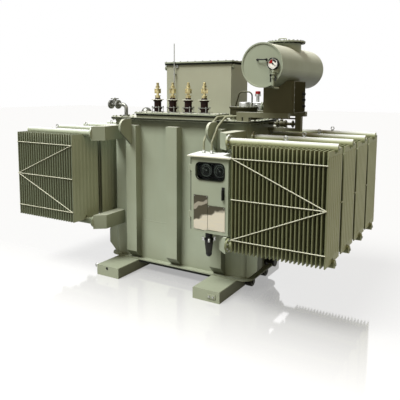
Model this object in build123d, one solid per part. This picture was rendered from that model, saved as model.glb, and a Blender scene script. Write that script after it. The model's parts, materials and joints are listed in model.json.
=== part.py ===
"""Oil-immersed power transformer with radiator banks, conservator and marshalling cabinet.

Millimetres, +Z up, origin on the ground under the middle of the tank. The front, with the
bushings and the marshalling cabinet, faces -Y, and the conservator lies over the +X bank.
"""
from build123d import *
import math
import os

# Radiators: pressed panels on two header pipes, four radiators a side in a row along Y
FIN_COUNT = 24
FIN_PITCH = 45.0
FIN_THICKNESS = 12.0
FIN_WIDTH = 495.0
FIN_LOW = 718.0
FIN_HIGH = 1892.0
RADIATOR_STANDOFF = 132.0
RADIATOR_COUNT = 4
RADIATOR_GAP = 76.0
HEADER_RADIUS = 45.0
HEADER_LOW = 707.0
HEADER_HIGH = 1907.0
HEADER_OVERHANG = 30.0
FLANGE_RADIUS = 80.0
FLANGE_THICKNESS = 24.0

# Bracing bars across the outer fin edges of each bank, and ties between its radiators
BRACE_RADIUS = 6.0
BRACE_LOW = 856.0
BRACE_MIDDLE = 1306.0
BRACE_HIGH = 1754.0
TIE_WIDTH = 14.0
TIE_THICKNESS = 8.0
TIE_LOW = 1306.0
TIE_HIGH = 1820.0

# Skids
SKID_SPACING = 1518.0
SKID_WIDTH = 368.0
SKID_HEIGHT = 140.0
SKID_LENGTH = 1838.0
SKID_EDGE = 6.0

# Transport rollers on stub axles beside the skids
ROLLER_SPACING = 424.0
ROLLER_CLEARANCE = 4.0
ROLLER_WIDTH = 86.0
ROLLER_EDGE = 8.0
AXLE_RADIUS = 24.0
AXLE_LENGTH = 18.0
HUB_RADIUS = 32.0
HUB_LENGTH = 12.0

# Tank
TANK_LENGTH = 2100.0
TANK_DEPTH = 820.0
TANK_CORNER = 80.0
TANK_WALL = 10.0
FLOOR_THICKNESS = 16.0
FLOOR_LIP = 64.0
RIM_LEVEL = 2080.0
RIM_THICKNESS = 18.0
RIM_OVERHANG = 60.0
RIM_WIDTH = 90.0
COVER_THICKNESS = 16.0

# Box stiffeners on the long walls and on the ends of the tank
STIFFENER_INSET = 390.0
STIFFENER_WIDTH = 168.0
STIFFENER_DEPTH = 110.0
STIFFENER_TOP = 2010.0
END_STIFFENER_WIDTH = 140.0
END_STIFFENER_DEPTH = 125.0
END_STIFFENER_TOP = 600.0
END_STIFFENER_SETBACK = 28.0

# Lifting lugs on the outer stiffeners
LUG_THICKNESS = 32.0
LUG_REACH = 120.0
LUG_NOSE_RADIUS = 112.0
LUG_TOP = 2102.0
LUG_LOW = 1750.0
LUG_LEAN = 35.0

# Oil ducts from the long walls to the outermost radiators
DUCT_WIDTH = 140.0
DUCT_HEIGHT = 188.0
DUCT_INSET = 182.0
DUCT_MITRE = 112.0
DUCT_NOSE = 10.0

# Turret with four bushings
TURRET_INSET = 435.0
TURRET_DEPTH = 330.0
TURRET_HEIGHT = 52.0
TURRET_PLATE = 20.0
TURRET_LIP = 18.0
TURRET_FRONT = -466.0
BUSHING_COUNT = 4
BUSHING_PITCH = 243.0
BUSHING_Y = -300.0
PORCELAIN_RADIUS = 48.0
PORCELAIN_HEIGHT = 195.0
PORCELAIN_NECK = 32.0
SHED_RADIUS = 62.0
SHED_HEIGHT = 20.0
SHED_LOW = 43.0
SHED_HIGH = 144.0
SHED_EDGE = 6.0
STEM_RADIUS = 18.0
STEM_HEIGHT = 200.0
STEM_TIP = 4.0
BASE_NUT_RADIUS = 38.0
BASE_NUT_HEIGHT = 26.0
CLAMP_LENGTH = 74.0
CLAMP_WIDTH = 46.0
CLAMP_HEIGHT = 62.0
CLAMP_LEVEL = 58.0
TOP_NUT_RADIUS = 30.0
TOP_NUT_HEIGHT = 22.0
TOP_NUT_LEVEL = 136.0

# Cable box at the back of the cover
CABLE_BOX_INSET = 533.0
CABLE_BOX_DEPTH = 500.0
CABLE_BOX_HEIGHT = 745.0
CABLE_BOX_FRONT = 140.0
CABLE_BOX_LID = 18.0
CABLE_BOX_LID_LIP = 22.0

# Conservator and what carries it
CONSERVATOR_OUTSET = 283.0
CONSERVATOR_Z = 2756.0
CONSERVATOR_RADIUS = 247.0
CONSERVATOR_LENGTH = 1432.0
CONSERVATOR_WALL = 6.0
END_THICKNESS = 14.0
END_RIM = 8.0
BEAM_HEIGHT = 60.0
BEAM_WIDTH = 70.0
BEAM_INSET = 160.0
BEAM_OUTSET = 495.0
BEAM_LIFT = 48.0
BEAM_FOOT = 70.0
BEAM_FRONT_Y = -400.0
BEAM_REAR_Y = 190.0
POST_WIDTH = 75.0
POST_OUTSET = 364.0
BRACKET_LOW = 1970.0
BRACKET_HEIGHT = 40.0
PEDESTAL_WIDTH = 344.0
PEDESTAL_DEPTH = 430.0
PEDESTAL_OUTSET = 85.0
PEDESTAL_TOP = 2588.0
PEDESTAL_FLANGE = 14.0
PEDESTAL_LIP = 16.0
SADDLE_THICKNESS = 40.0
SADDLE_WIDTH = 340.0
MANHOLE_Y = 0.0
MANHOLE_RADIUS = 180.0
MANHOLE_PLATE_RADIUS = 230.0
MANHOLE_PLATE = 16.0
MANHOLE_RISE = 46.0
GAUGE_RADIUS = 62.0
GAUGE_DEPTH = 34.0
GAUGE_OFFSET = 142.0
GAUGE_RISE = 10.0

# Oil pipe with gas relay between the cover and the conservator
OIL_PIPE_RADIUS = 38.0
OIL_PIPE_Y = 330.0
OIL_PIPE_INSET = 410.0
OIL_PIPE_LEVEL = 2260.0
OIL_PIPE_TURN = 90.0
OIL_FLANGE_RADIUS = 66.0
OIL_FLANGE = 16.0
RELAY_INSET = 290.0
RELAY_LENGTH = 130.0
RELAY_WIDTH = 120.0
RELAY_HEIGHT = 140.0
RELAY_EDGE = 14.0
RELAY_STEM_RADIUS = 22.0
RELAY_STEM_HEIGHT = 74.0
RELAY_COLLAR_RADIUS = 40.0
RELAY_COLLAR_HEIGHT = 30.0
RELAY_CAP_RADIUS = 35.0
RELAY_CAP_HEIGHT = 40.0

# Marshalling cabinet
CABINET_INSET = 140.0
CABINET_WIDTH = 506.0
CABINET_LOW = 806.0
CABINET_HIGH = 1712.0
CABINET_FRONT = -850.0
CABINET_DEPTH = 250.0
CABINET_WALL = 12.0
DOOR_GAP = 6.0
DOOR_THICKNESS = 18.0
DOOR_MARGIN = 6.0
WINDOW_INSET = 74.0
WINDOW_WIDTH = 372.0
WINDOW_LOW = 1448.0
WINDOW_HEIGHT = 198.0
WINDOW_CORNER = 55.0
GLASS_THICKNESS = 6.0
ROOF_THICKNESS = 14.0
ROOF_OVERHANG = 34.0
ROOF_FRONT = 56.0
HINGE_RADIUS = 7.0
HINGE_KNUCKLE = 13.0
HINGE_LENGTH = 70.0
HINGE_FOOT_INSET = 6.0
HINGE_EAR = 18.0
HINGE_LOW = 980.0
HINGE_HIGH = 1540.0
HINGE_PIN_RISE = 6.0
HANDLE_INSET = 436.0
HANDLE_Z = 1305.0
HANDLE_LENGTH = 146.0
HANDLE_WIDTH = 32.0
HANDLE_PLATE = 10.0
GRIP_RADIUS = 11.0
GRIP_STANDOFF = 24.0
GRIP_TOP = 44.0
BOSS_RADIUS = 12.0
BOSS_RISE = 29.0
DIAL_RADIUS = 74.0
DIAL_DEPTH = 60.0
DIAL_LEFT = 96.0
DIAL_RIGHT = 276.0
DIAL_SETBACK = 50.0
DIAL_STEM_RADIUS = 22.0
RAIL_HEIGHT = 80.0
RAIL_LOW = 896.0
RAIL_HIGH = 1524.0

# Conduits from the cover down to the roof of the marshalling cabinet
CONDUIT_RADIUS = 13.0
CONDUIT_SPREAD = 110.0
CONDUIT_RUN = 190.0
CONDUIT_SHIFT = 45.0
CONDUIT_DROP = 110.0
CONDUIT_TURN = 30.0
CONDUIT_BOSS = 22.0
CONDUIT_BOSS_HEIGHT = 20.0
CONDUIT_LEVEL = 2158.0
CONDUIT_START_Y = -330.0
CONDUIT_END_Y = -720.0
CONDUIT_END_Z = 1762.0

# Breather, valves and small fittings
BREATHER_INSET = 170.0
BREATHER_Y = -730.0
BREATHER_RADIUS = 52.0
BREATHER_COLLAR = 66.0
BREATHER_STEM = 22.0
BREATHER_NECK = 62.0
BREATHER_COLLAR_HEIGHT = 26.0
BREATHER_JAR = 190.0
BREATHER_CUP = 46.0
VALVE_INSET = 165.0
VALVE_Y = -330.0
VALVE_PIPE_RADIUS = 26.0
VALVE_LEVEL = 2280.0
VALVE_FLANGE_RADIUS = 62.0
VALVE_TURN = 60.0
VALVE_REACH = 297.0
VALVE_FLANGE_NEAR = 130.0
VALVE_FLANGE_FAR = 258.0
VALVE_STEM_REACH = 205.0
VALVE_STEM_HEIGHT = 72.0
DOME_INSET = 346.0
DOME_Y = -100.0
DOME_RADIUS = 75.0
DOME_RISE = 52.0
ROD_INSET = 151.0
ROD_RADIUS = 7.0
ROD_GAP = 35.0
ROD_TOP = 3130.0
TAP_HEAD_INSET = 246.0
TAP_HEAD_Y = -60.0
TAP_HEAD_RADIUS = 172.0
TAP_HEAD_HEIGHT = 139.0
TAP_LID_RADIUS = 182.0
TAP_LID = 22.0
TAP_CAP_OFFSET = 16.0
TAP_CAP_RADIUS = 76.0
TAP_CAP_HEIGHT = 62.0
TAP_CAP_EDGE = 18.0
HOOP_RADIUS = 9.0
HOOP_REACH = 116.0
HOOP_LEAN = 58.0
HOOP_RISE = 188.0
HOOP_TURN = 55.0
DRAIN_CLEARANCE = 10.0
DRAIN_Z = 232.0
DRAIN_RADIUS = 30.0
DRAIN_FLANGE_RADIUS = 60.0
DRAIN_REACH = 140.0
DRAIN_STEM_RADIUS = 18.0
DRAIN_STEM_HEIGHT = 120.0
DRAIN_WHEEL = 18.0

# Clearances: curved seats, and a pin in its knuckle
SEAT = 0.3
PIN_CLEARANCE = 0.4

# Worked out from the sizes above
ROW_PITCH = FIN_WIDTH + RADIATOR_GAP
BANK_FRONT = -(RADIATOR_COUNT * ROW_PITCH - RADIATOR_GAP) / 2
ROW_CENTRES = [BANK_FRONT + FIN_WIDTH / 2 + i * ROW_PITCH for i in range(RADIATOR_COUNT)]
TANK_END = TANK_LENGTH / 2
TANK_FACE = TANK_DEPTH / 2
FIRST_FIN_X = TANK_END + RADIATOR_STANDOFF
LAST_FIN_X = FIRST_FIN_X + FIN_PITCH * (FIN_COUNT - 1)
FIN_INNER_X = FIRST_FIN_X - FIN_THICKNESS / 2
FIN_OUTER_X = LAST_FIN_X + FIN_THICKNESS / 2
FLOOR_TOP = SKID_HEIGHT + FLOOR_THICKNESS
SKID_SIDE = (SKID_SPACING + SKID_WIDTH) / 2
ROLLER_RADIUS = SKID_HEIGHT / 2 - ROLLER_CLEARANCE
COVER_LOW = RIM_LEVEL + RIM_THICKNESS
COVER_TOP = COVER_LOW + COVER_THICKNESS
STIFFENER_FACE = TANK_FACE + STIFFENER_DEPTH
STIFFENER_PITCH = TANK_END - STIFFENER_INSET
STIFFENER_XS = [-STIFFENER_PITCH, 0, STIFFENER_PITCH]
DUCT_INNER_X = TANK_END - DUCT_INSET
DUCT_OUTER_X = DUCT_INNER_X + DUCT_WIDTH
DUCT_END = -ROW_CENTRES[0] + HEADER_RADIUS + DUCT_NOSE
TURRET_LENGTH = TANK_LENGTH - 2 * TURRET_INSET
CABLE_BOX_WIDTH = TANK_LENGTH - 2 * CABLE_BOX_INSET
ROD_X = ROD_INSET - CABLE_BOX_WIDTH / 2
PLATE_TOP = COVER_TOP + TURRET_HEIGHT + TURRET_PLATE
BEAM_LOW = COVER_TOP + BEAM_LIFT
BEAM_TOP = BEAM_LOW + BEAM_HEIGHT
CONSERVATOR_X = TANK_END + CONSERVATOR_OUTSET
RELAY_X = TANK_END - RELAY_INSET
CABINET_LEFT = STIFFENER_PITCH - CABINET_INSET
CABINET_BACK = CABINET_FRONT + CABINET_DEPTH
BREATHER_X = CABINET_LEFT + BREATHER_INSET
DOOR_BACK = CABINET_FRONT - DOOR_GAP
DOOR_FRONT = DOOR_BACK - DOOR_THICKNESS
HINGE_X = CABINET_LEFT - HINGE_KNUCKLE - DOOR_MARGIN
HINGE_Y = DOOR_BACK - DOOR_THICKNESS / 2
WINDOW_X = CABINET_LEFT + WINDOW_INSET + WINDOW_WIDTH / 2
WINDOW_Z = WINDOW_LOW + WINDOW_HEIGHT / 2
HANDLE_X = CABINET_LEFT + HANDLE_INSET


def save(node, *solids):
    """Write a node's solids to its own file."""
    os.makedirs("parts", exist_ok=True)
    flat = [s for item in solids for s in (item.solids() if hasattr(item, "solids") else item)]
    shape = flat[0] if len(flat) == 1 else Compound(children=flat)
    export_step(shape, f"parts/{node}.step")


def block(x0, x1, y0, y1, z0, z1):
    """Box between two corners."""
    box = Box(abs(x1 - x0), abs(y1 - y0), abs(z1 - z0))
    return Pos((x0 + x1) / 2, (y0 + y1) / 2, (z0 + z1) / 2) * box


def bar(start, end, radius):
    """Round bar between two points."""
    start, end = Vector(*start), Vector(*end)
    plane = Plane(origin=start, z_dir=end - start)
    return extrude(plane * Circle(radius), (end - start).length)


def prism(points, vector):
    """Closed outline of 3-D points pushed along a vector."""
    return extrude(make_face(Polyline(*points, close=True)), dir=vector, amount=Vector(*vector).length)


def pipe(points, radius, bend):
    """Pipe along straight runs with equal bends."""
    path = FilletPolyline(*points, radius=bend)
    section = Plane(origin=path @ 0, z_dir=path % 0) * Circle(radius)
    return sweep(section, path=path)


def turned(points, x, y, z):
    """Solid of revolution about a vertical axis from (radius, height) points."""
    outline = make_face(Polyline(*[(r, 0, h) for r, h in points], close=True))
    return Pos(x, y, z) * revolve(outline, Axis.Z)


def mirrored_x(solid):
    """Twin on the other side of the YZ plane."""
    return mirror(solid, about=Plane.YZ)


def mirrored_y(solid):
    """Twin on the other side of the XZ plane."""
    return mirror(solid, about=Plane.XZ)


def fin_at(x, y):
    """Pressed panel with saddles for its two header pipes."""
    saddle = (HEADER_RADIUS + SEAT) * math.sqrt(2)
    high_notch = FIN_HIGH - (HEADER_HIGH - saddle)
    low_notch = (HEADER_LOW + saddle) - FIN_LOW
    half = FIN_WIDTH / 2
    x0 = x - FIN_THICKNESS / 2
    outline = [
        (x0, y - half, FIN_LOW), (x0, y - low_notch, FIN_LOW), (x0, y, FIN_LOW + low_notch),
        (x0, y + low_notch, FIN_LOW), (x0, y + half, FIN_LOW), (x0, y + half, FIN_HIGH),
        (x0, y + high_notch, FIN_HIGH), (x0, y, FIN_HIGH - high_notch),
        (x0, y - high_notch, FIN_HIGH), (x0, y - half, FIN_HIGH),
    ]
    return prism(outline, (FIN_THICKNESS, 0, 0))


def header(y, z, inner_x):
    """Header pipe of one radiator with its flange pair at the inner end."""
    tube = bar((inner_x, y, z), (FIN_OUTER_X + HEADER_OVERHANG, y, z), HEADER_RADIUS)
    flange = bar((inner_x, y, z), (inner_x + FLANGE_THICKNESS, y, z), FLANGE_RADIUS)
    return tube + flange


def radiator(row):
    """One radiator of the +X bank: its panels and both headers."""
    y = ROW_CENTRES[row]
    outermost = row in (0, RADIATOR_COUNT - 1)
    inner_x = DUCT_OUTER_X if outermost else TANK_END
    fins = [fin_at(FIRST_FIN_X + FIN_PITCH * i, y) for i in range(FIN_COUNT)]
    pipes = [header(y, z, inner_x) for z in (HEADER_LOW, HEADER_HIGH)]
    return fins + pipes


def bracing():
    """Bars across the front edges of the +X bank: three level bars and a K of two diagonals."""
    y = BANK_FRONT - BRACE_RADIUS - SEAT
    inner, outer = FIN_INNER_X, FIN_OUTER_X
    lattice = bar((inner, y, BRACE_MIDDLE), (outer, y, BRACE_MIDDLE), BRACE_RADIUS)
    for level in (BRACE_LOW, BRACE_HIGH):
        lattice += bar((inner, y, level), (outer, y, level), BRACE_RADIUS)
        lattice += bar((inner, y, level), (outer, y, BRACE_MIDDLE), BRACE_RADIUS)
    return lattice


def ties():
    """Flat ties across the gaps between neighbouring radiators, on the outer panels."""
    flats = []
    for row in range(RADIATOR_COUNT - 1):
        gap = (ROW_CENTRES[row] + ROW_CENTRES[row + 1]) / 2
        reach = RADIATOR_GAP / 2 + TIE_WIDTH
        for level in (TIE_LOW, TIE_HIGH):
            flats.append(block(FIN_OUTER_X, FIN_OUTER_X + TIE_THICKNESS, gap - reach, gap + reach,
                               level - TIE_WIDTH / 2, level + TIE_WIDTH / 2))
    return flats


def skid():
    """Low closed skid with eased edges on the +X side."""
    body = block(SKID_SIDE - SKID_WIDTH, SKID_SIDE, -SKID_LENGTH / 2, SKID_LENGTH / 2, 0, SKID_HEIGHT)
    upper = body.edges().filter_by(Axis.Y).group_by(Axis.Z)[-1]
    return chamfer(upper, SKID_EDGE)


def roller():
    """Front roller of the +X side: stub axle on the skid's side, wheel and hub."""
    y, z = -ROLLER_SPACING / 2, ROLLER_RADIUS
    inner = SKID_SIDE + AXLE_LENGTH
    outer = inner + ROLLER_WIDTH
    wheel = bar((inner, y, z), (outer, y, z), ROLLER_RADIUS)
    wheel = chamfer(wheel.edges().filter_by(GeomType.CIRCLE), ROLLER_EDGE)
    axle = bar((SKID_SIDE, y, z), (inner, y, z), AXLE_RADIUS)
    return wheel + axle + bar((outer, y, z), (outer + HUB_LENGTH, y, z), HUB_RADIUS)


def tank_wall():
    """Four walls with rounded corners."""
    height = RIM_LEVEL - FLOOR_TOP
    outer = RectangleRounded(TANK_LENGTH, TANK_DEPTH, TANK_CORNER)
    inner = RectangleRounded(TANK_LENGTH - 2 * TANK_WALL, TANK_DEPTH - 2 * TANK_WALL,
                             TANK_CORNER - TANK_WALL)
    return Pos(0, 0, FLOOR_TOP) * extrude(outer - inner, height)


def tank_floor():
    """Floor plate that stands a little proud of the walls."""
    outline = RectangleRounded(TANK_LENGTH + 2 * FLOOR_LIP, TANK_DEPTH + 2 * FLOOR_LIP,
                               TANK_CORNER + FLOOR_LIP)
    return Pos(0, 0, SKID_HEIGHT) * extrude(outline, FLOOR_THICKNESS)


def rim_outline(inset):
    """Rounded outline of the rim flange, drawn in by an inset."""
    return RectangleRounded(TANK_LENGTH + 2 * (RIM_OVERHANG - inset),
                            TANK_DEPTH + 2 * (RIM_OVERHANG - inset),
                            TANK_CORNER + RIM_OVERHANG - inset)


def tank_rim():
    """Flange ring round the top of the walls."""
    return Pos(0, 0, RIM_LEVEL) * extrude(rim_outline(0) - rim_outline(RIM_WIDTH), RIM_THICKNESS)


def cover():
    """Cover plate bolted on the rim."""
    return Pos(0, 0, COVER_LOW) * extrude(rim_outline(0), COVER_THICKNESS)


def stiffener(x):
    """Box stiffener on the front wall with a sloping foot."""
    x0, x1 = x - STIFFENER_WIDTH / 2, x + STIFFENER_WIDTH / 2
    wall, face = -TANK_FACE, -STIFFENER_FACE
    outline = [
        (x0, wall, FLOOR_TOP), (x0, face, FLOOR_TOP + STIFFENER_DEPTH),
        (x0, face, STIFFENER_TOP), (x0, wall, STIFFENER_TOP),
    ]
    return prism(outline, (x1 - x0, 0, 0))


def end_stiffener():
    """Short box stiffener near the front edge of the +X end wall, sloped at both ends."""
    inner, outer = TANK_END - TANK_CORNER, TANK_END + END_STIFFENER_DEPTH
    y0 = END_STIFFENER_SETBACK - TANK_FACE
    outline = [
        (inner, y0, FLOOR_TOP), (TANK_END, y0, FLOOR_TOP),
        (outer, y0, FLOOR_TOP + END_STIFFENER_DEPTH), (outer, y0, END_STIFFENER_TOP - END_STIFFENER_DEPTH),
        (TANK_END, y0, END_STIFFENER_TOP), (inner, y0, END_STIFFENER_TOP),
    ]
    body = prism(outline, (0, END_STIFFENER_WIDTH, 0))
    tank = extrude(RectangleRounded(TANK_LENGTH + 2 * SEAT, TANK_DEPTH + 2 * SEAT, TANK_CORNER + SEAT),
                   RIM_LEVEL)
    return (body - tank).solids().sort_by(SortBy.VOLUME)[-1]


def lifting_lug(x):
    """Hooked lug plate on the face of a front stiffener, with a round nose."""
    x0 = x - LUG_THICKNESS / 2
    root = -STIFFENER_FACE
    nose_y, nose_z = root - LUG_REACH, LUG_TOP - LUG_NOSE_RADIUS
    lean = math.radians(LUG_LEAN)
    throat_y = nose_y - LUG_NOSE_RADIUS * math.cos(lean)
    throat_z = nose_z - LUG_NOSE_RADIUS * math.sin(lean)
    sides = Polyline((x0, throat_y, throat_z), (x0, root, LUG_LOW), (x0, root, LUG_TOP),
                     (x0, nose_y, LUG_TOP))
    tip = (x0, nose_y - LUG_NOSE_RADIUS, nose_z)
    nose = ThreePointArc((x0, nose_y, LUG_TOP), tip, (x0, throat_y, throat_z))
    return extrude(make_face(sides + nose), dir=(1, 0, 0), amount=LUG_THICKNESS)


def oil_duct(z):
    """Box duct from the front wall, mitred towards its radiator on the +X side."""
    z0, z1 = z - DUCT_HEIGHT / 2, z + DUCT_HEIGHT / 2
    outline = [
        (DUCT_INNER_X, -TANK_FACE, z0), (DUCT_INNER_X, -DUCT_END + DUCT_MITRE, z0),
        (DUCT_OUTER_X, -DUCT_END, z0), (DUCT_OUTER_X, -TANK_FACE, z0),
    ]
    return prism(outline, (0, 0, z1 - z0))


def bushing(x):
    """Porcelain body of one bushing: two round-edged sheds and a tapered shoulder."""
    body, shed = PORCELAIN_RADIUS, SHED_RADIUS
    outline = [(0, 0), (body, 0)]
    for level in (SHED_LOW, SHED_HIGH):
        outline += [(body, level), (shed - SHED_EDGE, level), (shed, level + SHED_EDGE)]
        outline += [(shed, level + SHED_HEIGHT - SHED_EDGE), (shed - SHED_EDGE, level + SHED_HEIGHT)]
        outline.append((body, level + SHED_HEIGHT))
    outline += [(PORCELAIN_NECK, PORCELAIN_HEIGHT), (0, PORCELAIN_HEIGHT)]
    return turned(outline, x, BUSHING_Y, PLATE_TOP)


def terminal(x):
    """Brass stem of one bushing with its nuts and its clamp block."""
    z = PLATE_TOP + PORCELAIN_HEIGHT
    stem = bar((x, BUSHING_Y, z), (x, BUSHING_Y, z + STEM_HEIGHT), STEM_RADIUS)
    stem = chamfer(stem.edges().group_by(Axis.Z)[-1], STEM_TIP)
    nuts = Pos(x, BUSHING_Y, z) * extrude(RegularPolygon(BASE_NUT_RADIUS, 6), BASE_NUT_HEIGHT)
    top_nut = extrude(RegularPolygon(TOP_NUT_RADIUS, 6), TOP_NUT_HEIGHT)
    nuts += Pos(x, BUSHING_Y, z + TOP_NUT_LEVEL) * top_nut
    clamp_middle = z + CLAMP_LEVEL + CLAMP_HEIGHT / 2
    clamp = Pos(x, BUSHING_Y, clamp_middle) * Box(CLAMP_LENGTH, CLAMP_WIDTH, CLAMP_HEIGHT)
    return stem + nuts + clamp


def conservator_barrel():
    """Rolled shell of the conservator between its two ends."""
    half = CONSERVATOR_LENGTH / 2 - END_THICKNESS
    axis = Plane(origin=(CONSERVATOR_X, -half, CONSERVATOR_Z), z_dir=(0, 1, 0))
    ring = Circle(CONSERVATOR_RADIUS) - Circle(CONSERVATOR_RADIUS - CONSERVATOR_WALL)
    return extrude(axis * ring, 2 * half)


def conservator_end():
    """Front end plate with a raised rim."""
    half = CONSERVATOR_LENGTH / 2
    axis = Plane(origin=(CONSERVATOR_X, -half, CONSERVATOR_Z), z_dir=(0, 1, 0))
    plate = extrude(axis * Circle(CONSERVATOR_RADIUS), END_THICKNESS)
    recess = extrude(axis * Circle(CONSERVATOR_RADIUS - 2 * END_RIM), END_RIM)
    return plate - recess


def manhole():
    """Flanged manhole on top of the barrel."""
    top = CONSERVATOR_Z + CONSERVATOR_RADIUS + MANHOLE_RISE
    neck = bar((CONSERVATOR_X, MANHOLE_Y, CONSERVATOR_Z), (CONSERVATOR_X, MANHOLE_Y, top), MANHOLE_RADIUS)
    axis = Plane(origin=(CONSERVATOR_X, -CONSERVATOR_LENGTH, CONSERVATOR_Z), z_dir=(0, 1, 0))
    neck -= extrude(axis * Circle(CONSERVATOR_RADIUS + SEAT), 2 * CONSERVATOR_LENGTH)
    plate = bar((CONSERVATOR_X, MANHOLE_Y, top), (CONSERVATOR_X, MANHOLE_Y, top + MANHOLE_PLATE),
                MANHOLE_PLATE_RADIUS)
    return neck + plate


def saddle_cut(solid):
    """Cut the seat of the barrel out of what carries it."""
    axis = Plane(origin=(CONSERVATOR_X, -CONSERVATOR_LENGTH, CONSERVATOR_Z), z_dir=(0, 1, 0))
    return solid - extrude(axis * Circle(CONSERVATOR_RADIUS + SEAT), 2 * CONSERVATOR_LENGTH)


def support_beams():
    """Two beams that stand on feet on the cover and reach out over the +X bank."""
    beams = []
    start = TANK_END - BEAM_INSET
    for y in (BEAM_FRONT_Y, BEAM_REAR_Y):
        y0, y1 = y - BEAM_WIDTH / 2, y + BEAM_WIDTH / 2
        beam = block(start, TANK_END + BEAM_OUTSET, y0, y1, BEAM_LOW, BEAM_TOP)
        for x in (start, TANK_END - BEAM_FOOT):
            beam += block(x, x + BEAM_FOOT, y0, y1, COVER_TOP, BEAM_LOW)
        beams.append(beam)
    return beams


def beam_bracket():
    """Arm from the end wall with a post under the rear beam."""
    y0, y1 = BEAM_REAR_Y - BEAM_WIDTH / 2, BEAM_REAR_Y + BEAM_WIDTH / 2
    post_x = TANK_END + POST_OUTSET
    arm = block(TANK_END, post_x + POST_WIDTH, y0, y1, BRACKET_LOW, BRACKET_LOW + BRACKET_HEIGHT)
    post = block(post_x, post_x + POST_WIDTH, y0, y1, BRACKET_LOW + BRACKET_HEIGHT, BEAM_LOW)
    return arm + post


def pedestal():
    """Box pedestal under the front of the barrel, with a bolting flange behind its front."""
    front = BEAM_FRONT_Y - BEAM_WIDTH / 2
    middle = CONSERVATOR_X + PEDESTAL_OUTSET
    x0, x1 = middle - PEDESTAL_WIDTH / 2, middle + PEDESTAL_WIDTH / 2
    body = block(x0, x1, front, front + PEDESTAL_DEPTH, BEAM_TOP, PEDESTAL_TOP)
    flange_y = front + PEDESTAL_LIP
    body += block(x0 - PEDESTAL_LIP, x1 + PEDESTAL_LIP, flange_y, flange_y + PEDESTAL_FLANGE,
                  BEAM_TOP, PEDESTAL_TOP)
    return saddle_cut(body).solids().sort_by(SortBy.VOLUME)[-1]


def rear_saddle():
    """Plate saddle under the back of the barrel."""
    y = BEAM_REAR_Y
    body = block(CONSERVATOR_X - SADDLE_WIDTH / 2, CONSERVATOR_X + SADDLE_WIDTH / 2,
                 y - SADDLE_THICKNESS / 2, y + SADDLE_THICKNESS / 2, BEAM_TOP,
                 CONSERVATOR_Z - CONSERVATOR_RADIUS / 2)
    return saddle_cut(body).solids().sort_by(SortBy.VOLUME)[-1]


def oil_pipe():
    """Pipe from the cover to the relay, and from the relay up to the underside of the barrel."""
    y, z = OIL_PIPE_Y, OIL_PIPE_LEVEL
    foot_x = TANK_END - OIL_PIPE_INSET
    relay_end = RELAY_X + RELAY_LENGTH
    under = CONSERVATOR_Z - CONSERVATOR_RADIUS - SEAT
    rise = pipe([(foot_x, y, COVER_TOP), (foot_x, y, z), (RELAY_X, y, z)], OIL_PIPE_RADIUS, OIL_PIPE_TURN)
    rise += bar((foot_x, y, COVER_TOP), (foot_x, y, COVER_TOP + OIL_FLANGE), OIL_FLANGE_RADIUS)
    rise += bar((RELAY_X - OIL_FLANGE, y, z), (RELAY_X, y, z), OIL_FLANGE_RADIUS)
    climb = pipe([(relay_end, y, z), (CONSERVATOR_X, y, z), (CONSERVATOR_X, y, under)],
                 OIL_PIPE_RADIUS, OIL_PIPE_TURN)
    climb += bar((relay_end, y, z), (relay_end + OIL_FLANGE, y, z), OIL_FLANGE_RADIUS)
    return rise, climb


def gas_relay():
    """Cast relay body with the stem and collar of its sampling cock."""
    x, y = RELAY_X + RELAY_LENGTH / 2, OIL_PIPE_Y
    body = Pos(x, y, OIL_PIPE_LEVEL) * Box(RELAY_LENGTH, RELAY_WIDTH, RELAY_HEIGHT)
    body = fillet(body.edges().filter_by(Axis.X), RELAY_EDGE)
    top = OIL_PIPE_LEVEL + RELAY_HEIGHT / 2
    collar = top + RELAY_STEM_HEIGHT
    body += bar((x, y, top), (x, y, collar), RELAY_STEM_RADIUS)
    return body + bar((x, y, collar), (x, y, collar + RELAY_COLLAR_HEIGHT), RELAY_COLLAR_RADIUS)


def relay_cap():
    """Round cap on the relay's sampling cock."""
    x, y = RELAY_X + RELAY_LENGTH / 2, OIL_PIPE_Y
    low = OIL_PIPE_LEVEL + RELAY_HEIGHT / 2 + RELAY_STEM_HEIGHT + RELAY_COLLAR_HEIGHT
    cap = bar((x, y, low), (x, y, low + RELAY_CAP_HEIGHT), RELAY_CAP_RADIUS)
    return fillet(cap.edges().group_by(Axis.Z)[-1], RELAY_EDGE)


def cabinet():
    """Folded steel case, open at the front."""
    x0, x1 = CABINET_LEFT, CABINET_LEFT + CABINET_WIDTH
    case = block(x0, x1, CABINET_FRONT, CABINET_BACK, CABINET_LOW, CABINET_HIGH)
    room = block(x0 + CABINET_WALL, x1 - CABINET_WALL, CABINET_FRONT, CABINET_BACK - CABINET_WALL,
                 CABINET_LOW + CABINET_WALL, CABINET_HIGH - CABINET_WALL)
    return case - room


def cabinet_door():
    """Door leaf with its window cut-out and hinge knuckles."""
    x0 = CABINET_LEFT + DOOR_MARGIN
    x1 = CABINET_LEFT + CABINET_WIDTH - DOOR_MARGIN
    leaf = block(x0, x1, DOOR_FRONT, DOOR_BACK, CABINET_LOW + DOOR_MARGIN, CABINET_HIGH - DOOR_MARGIN)
    window = Plane(origin=(WINDOW_X, DOOR_FRONT, WINDOW_Z), x_dir=(1, 0, 0), z_dir=(0, -1, 0))
    leaf -= extrude(window * RectangleRounded(WINDOW_WIDTH, WINDOW_HEIGHT, WINDOW_CORNER), -DOOR_THICKNESS)
    for level in (HINGE_LOW, HINGE_HIGH):
        knuckle = bar((HINGE_X, HINGE_Y, level), (HINGE_X, HINGE_Y, level + HINGE_LENGTH), HINGE_KNUCKLE)
        strap = block(HINGE_X, x0, DOOR_FRONT, DOOR_FRONT + DOOR_THICKNESS / 2, level, level + HINGE_LENGTH)
        eye = bar((HINGE_X, HINGE_Y, level), (HINGE_X, HINGE_Y, level + HINGE_LENGTH),
                  HINGE_RADIUS + PIN_CLEARANCE)
        leaf += (knuckle + strap) - eye
    return leaf


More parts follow.
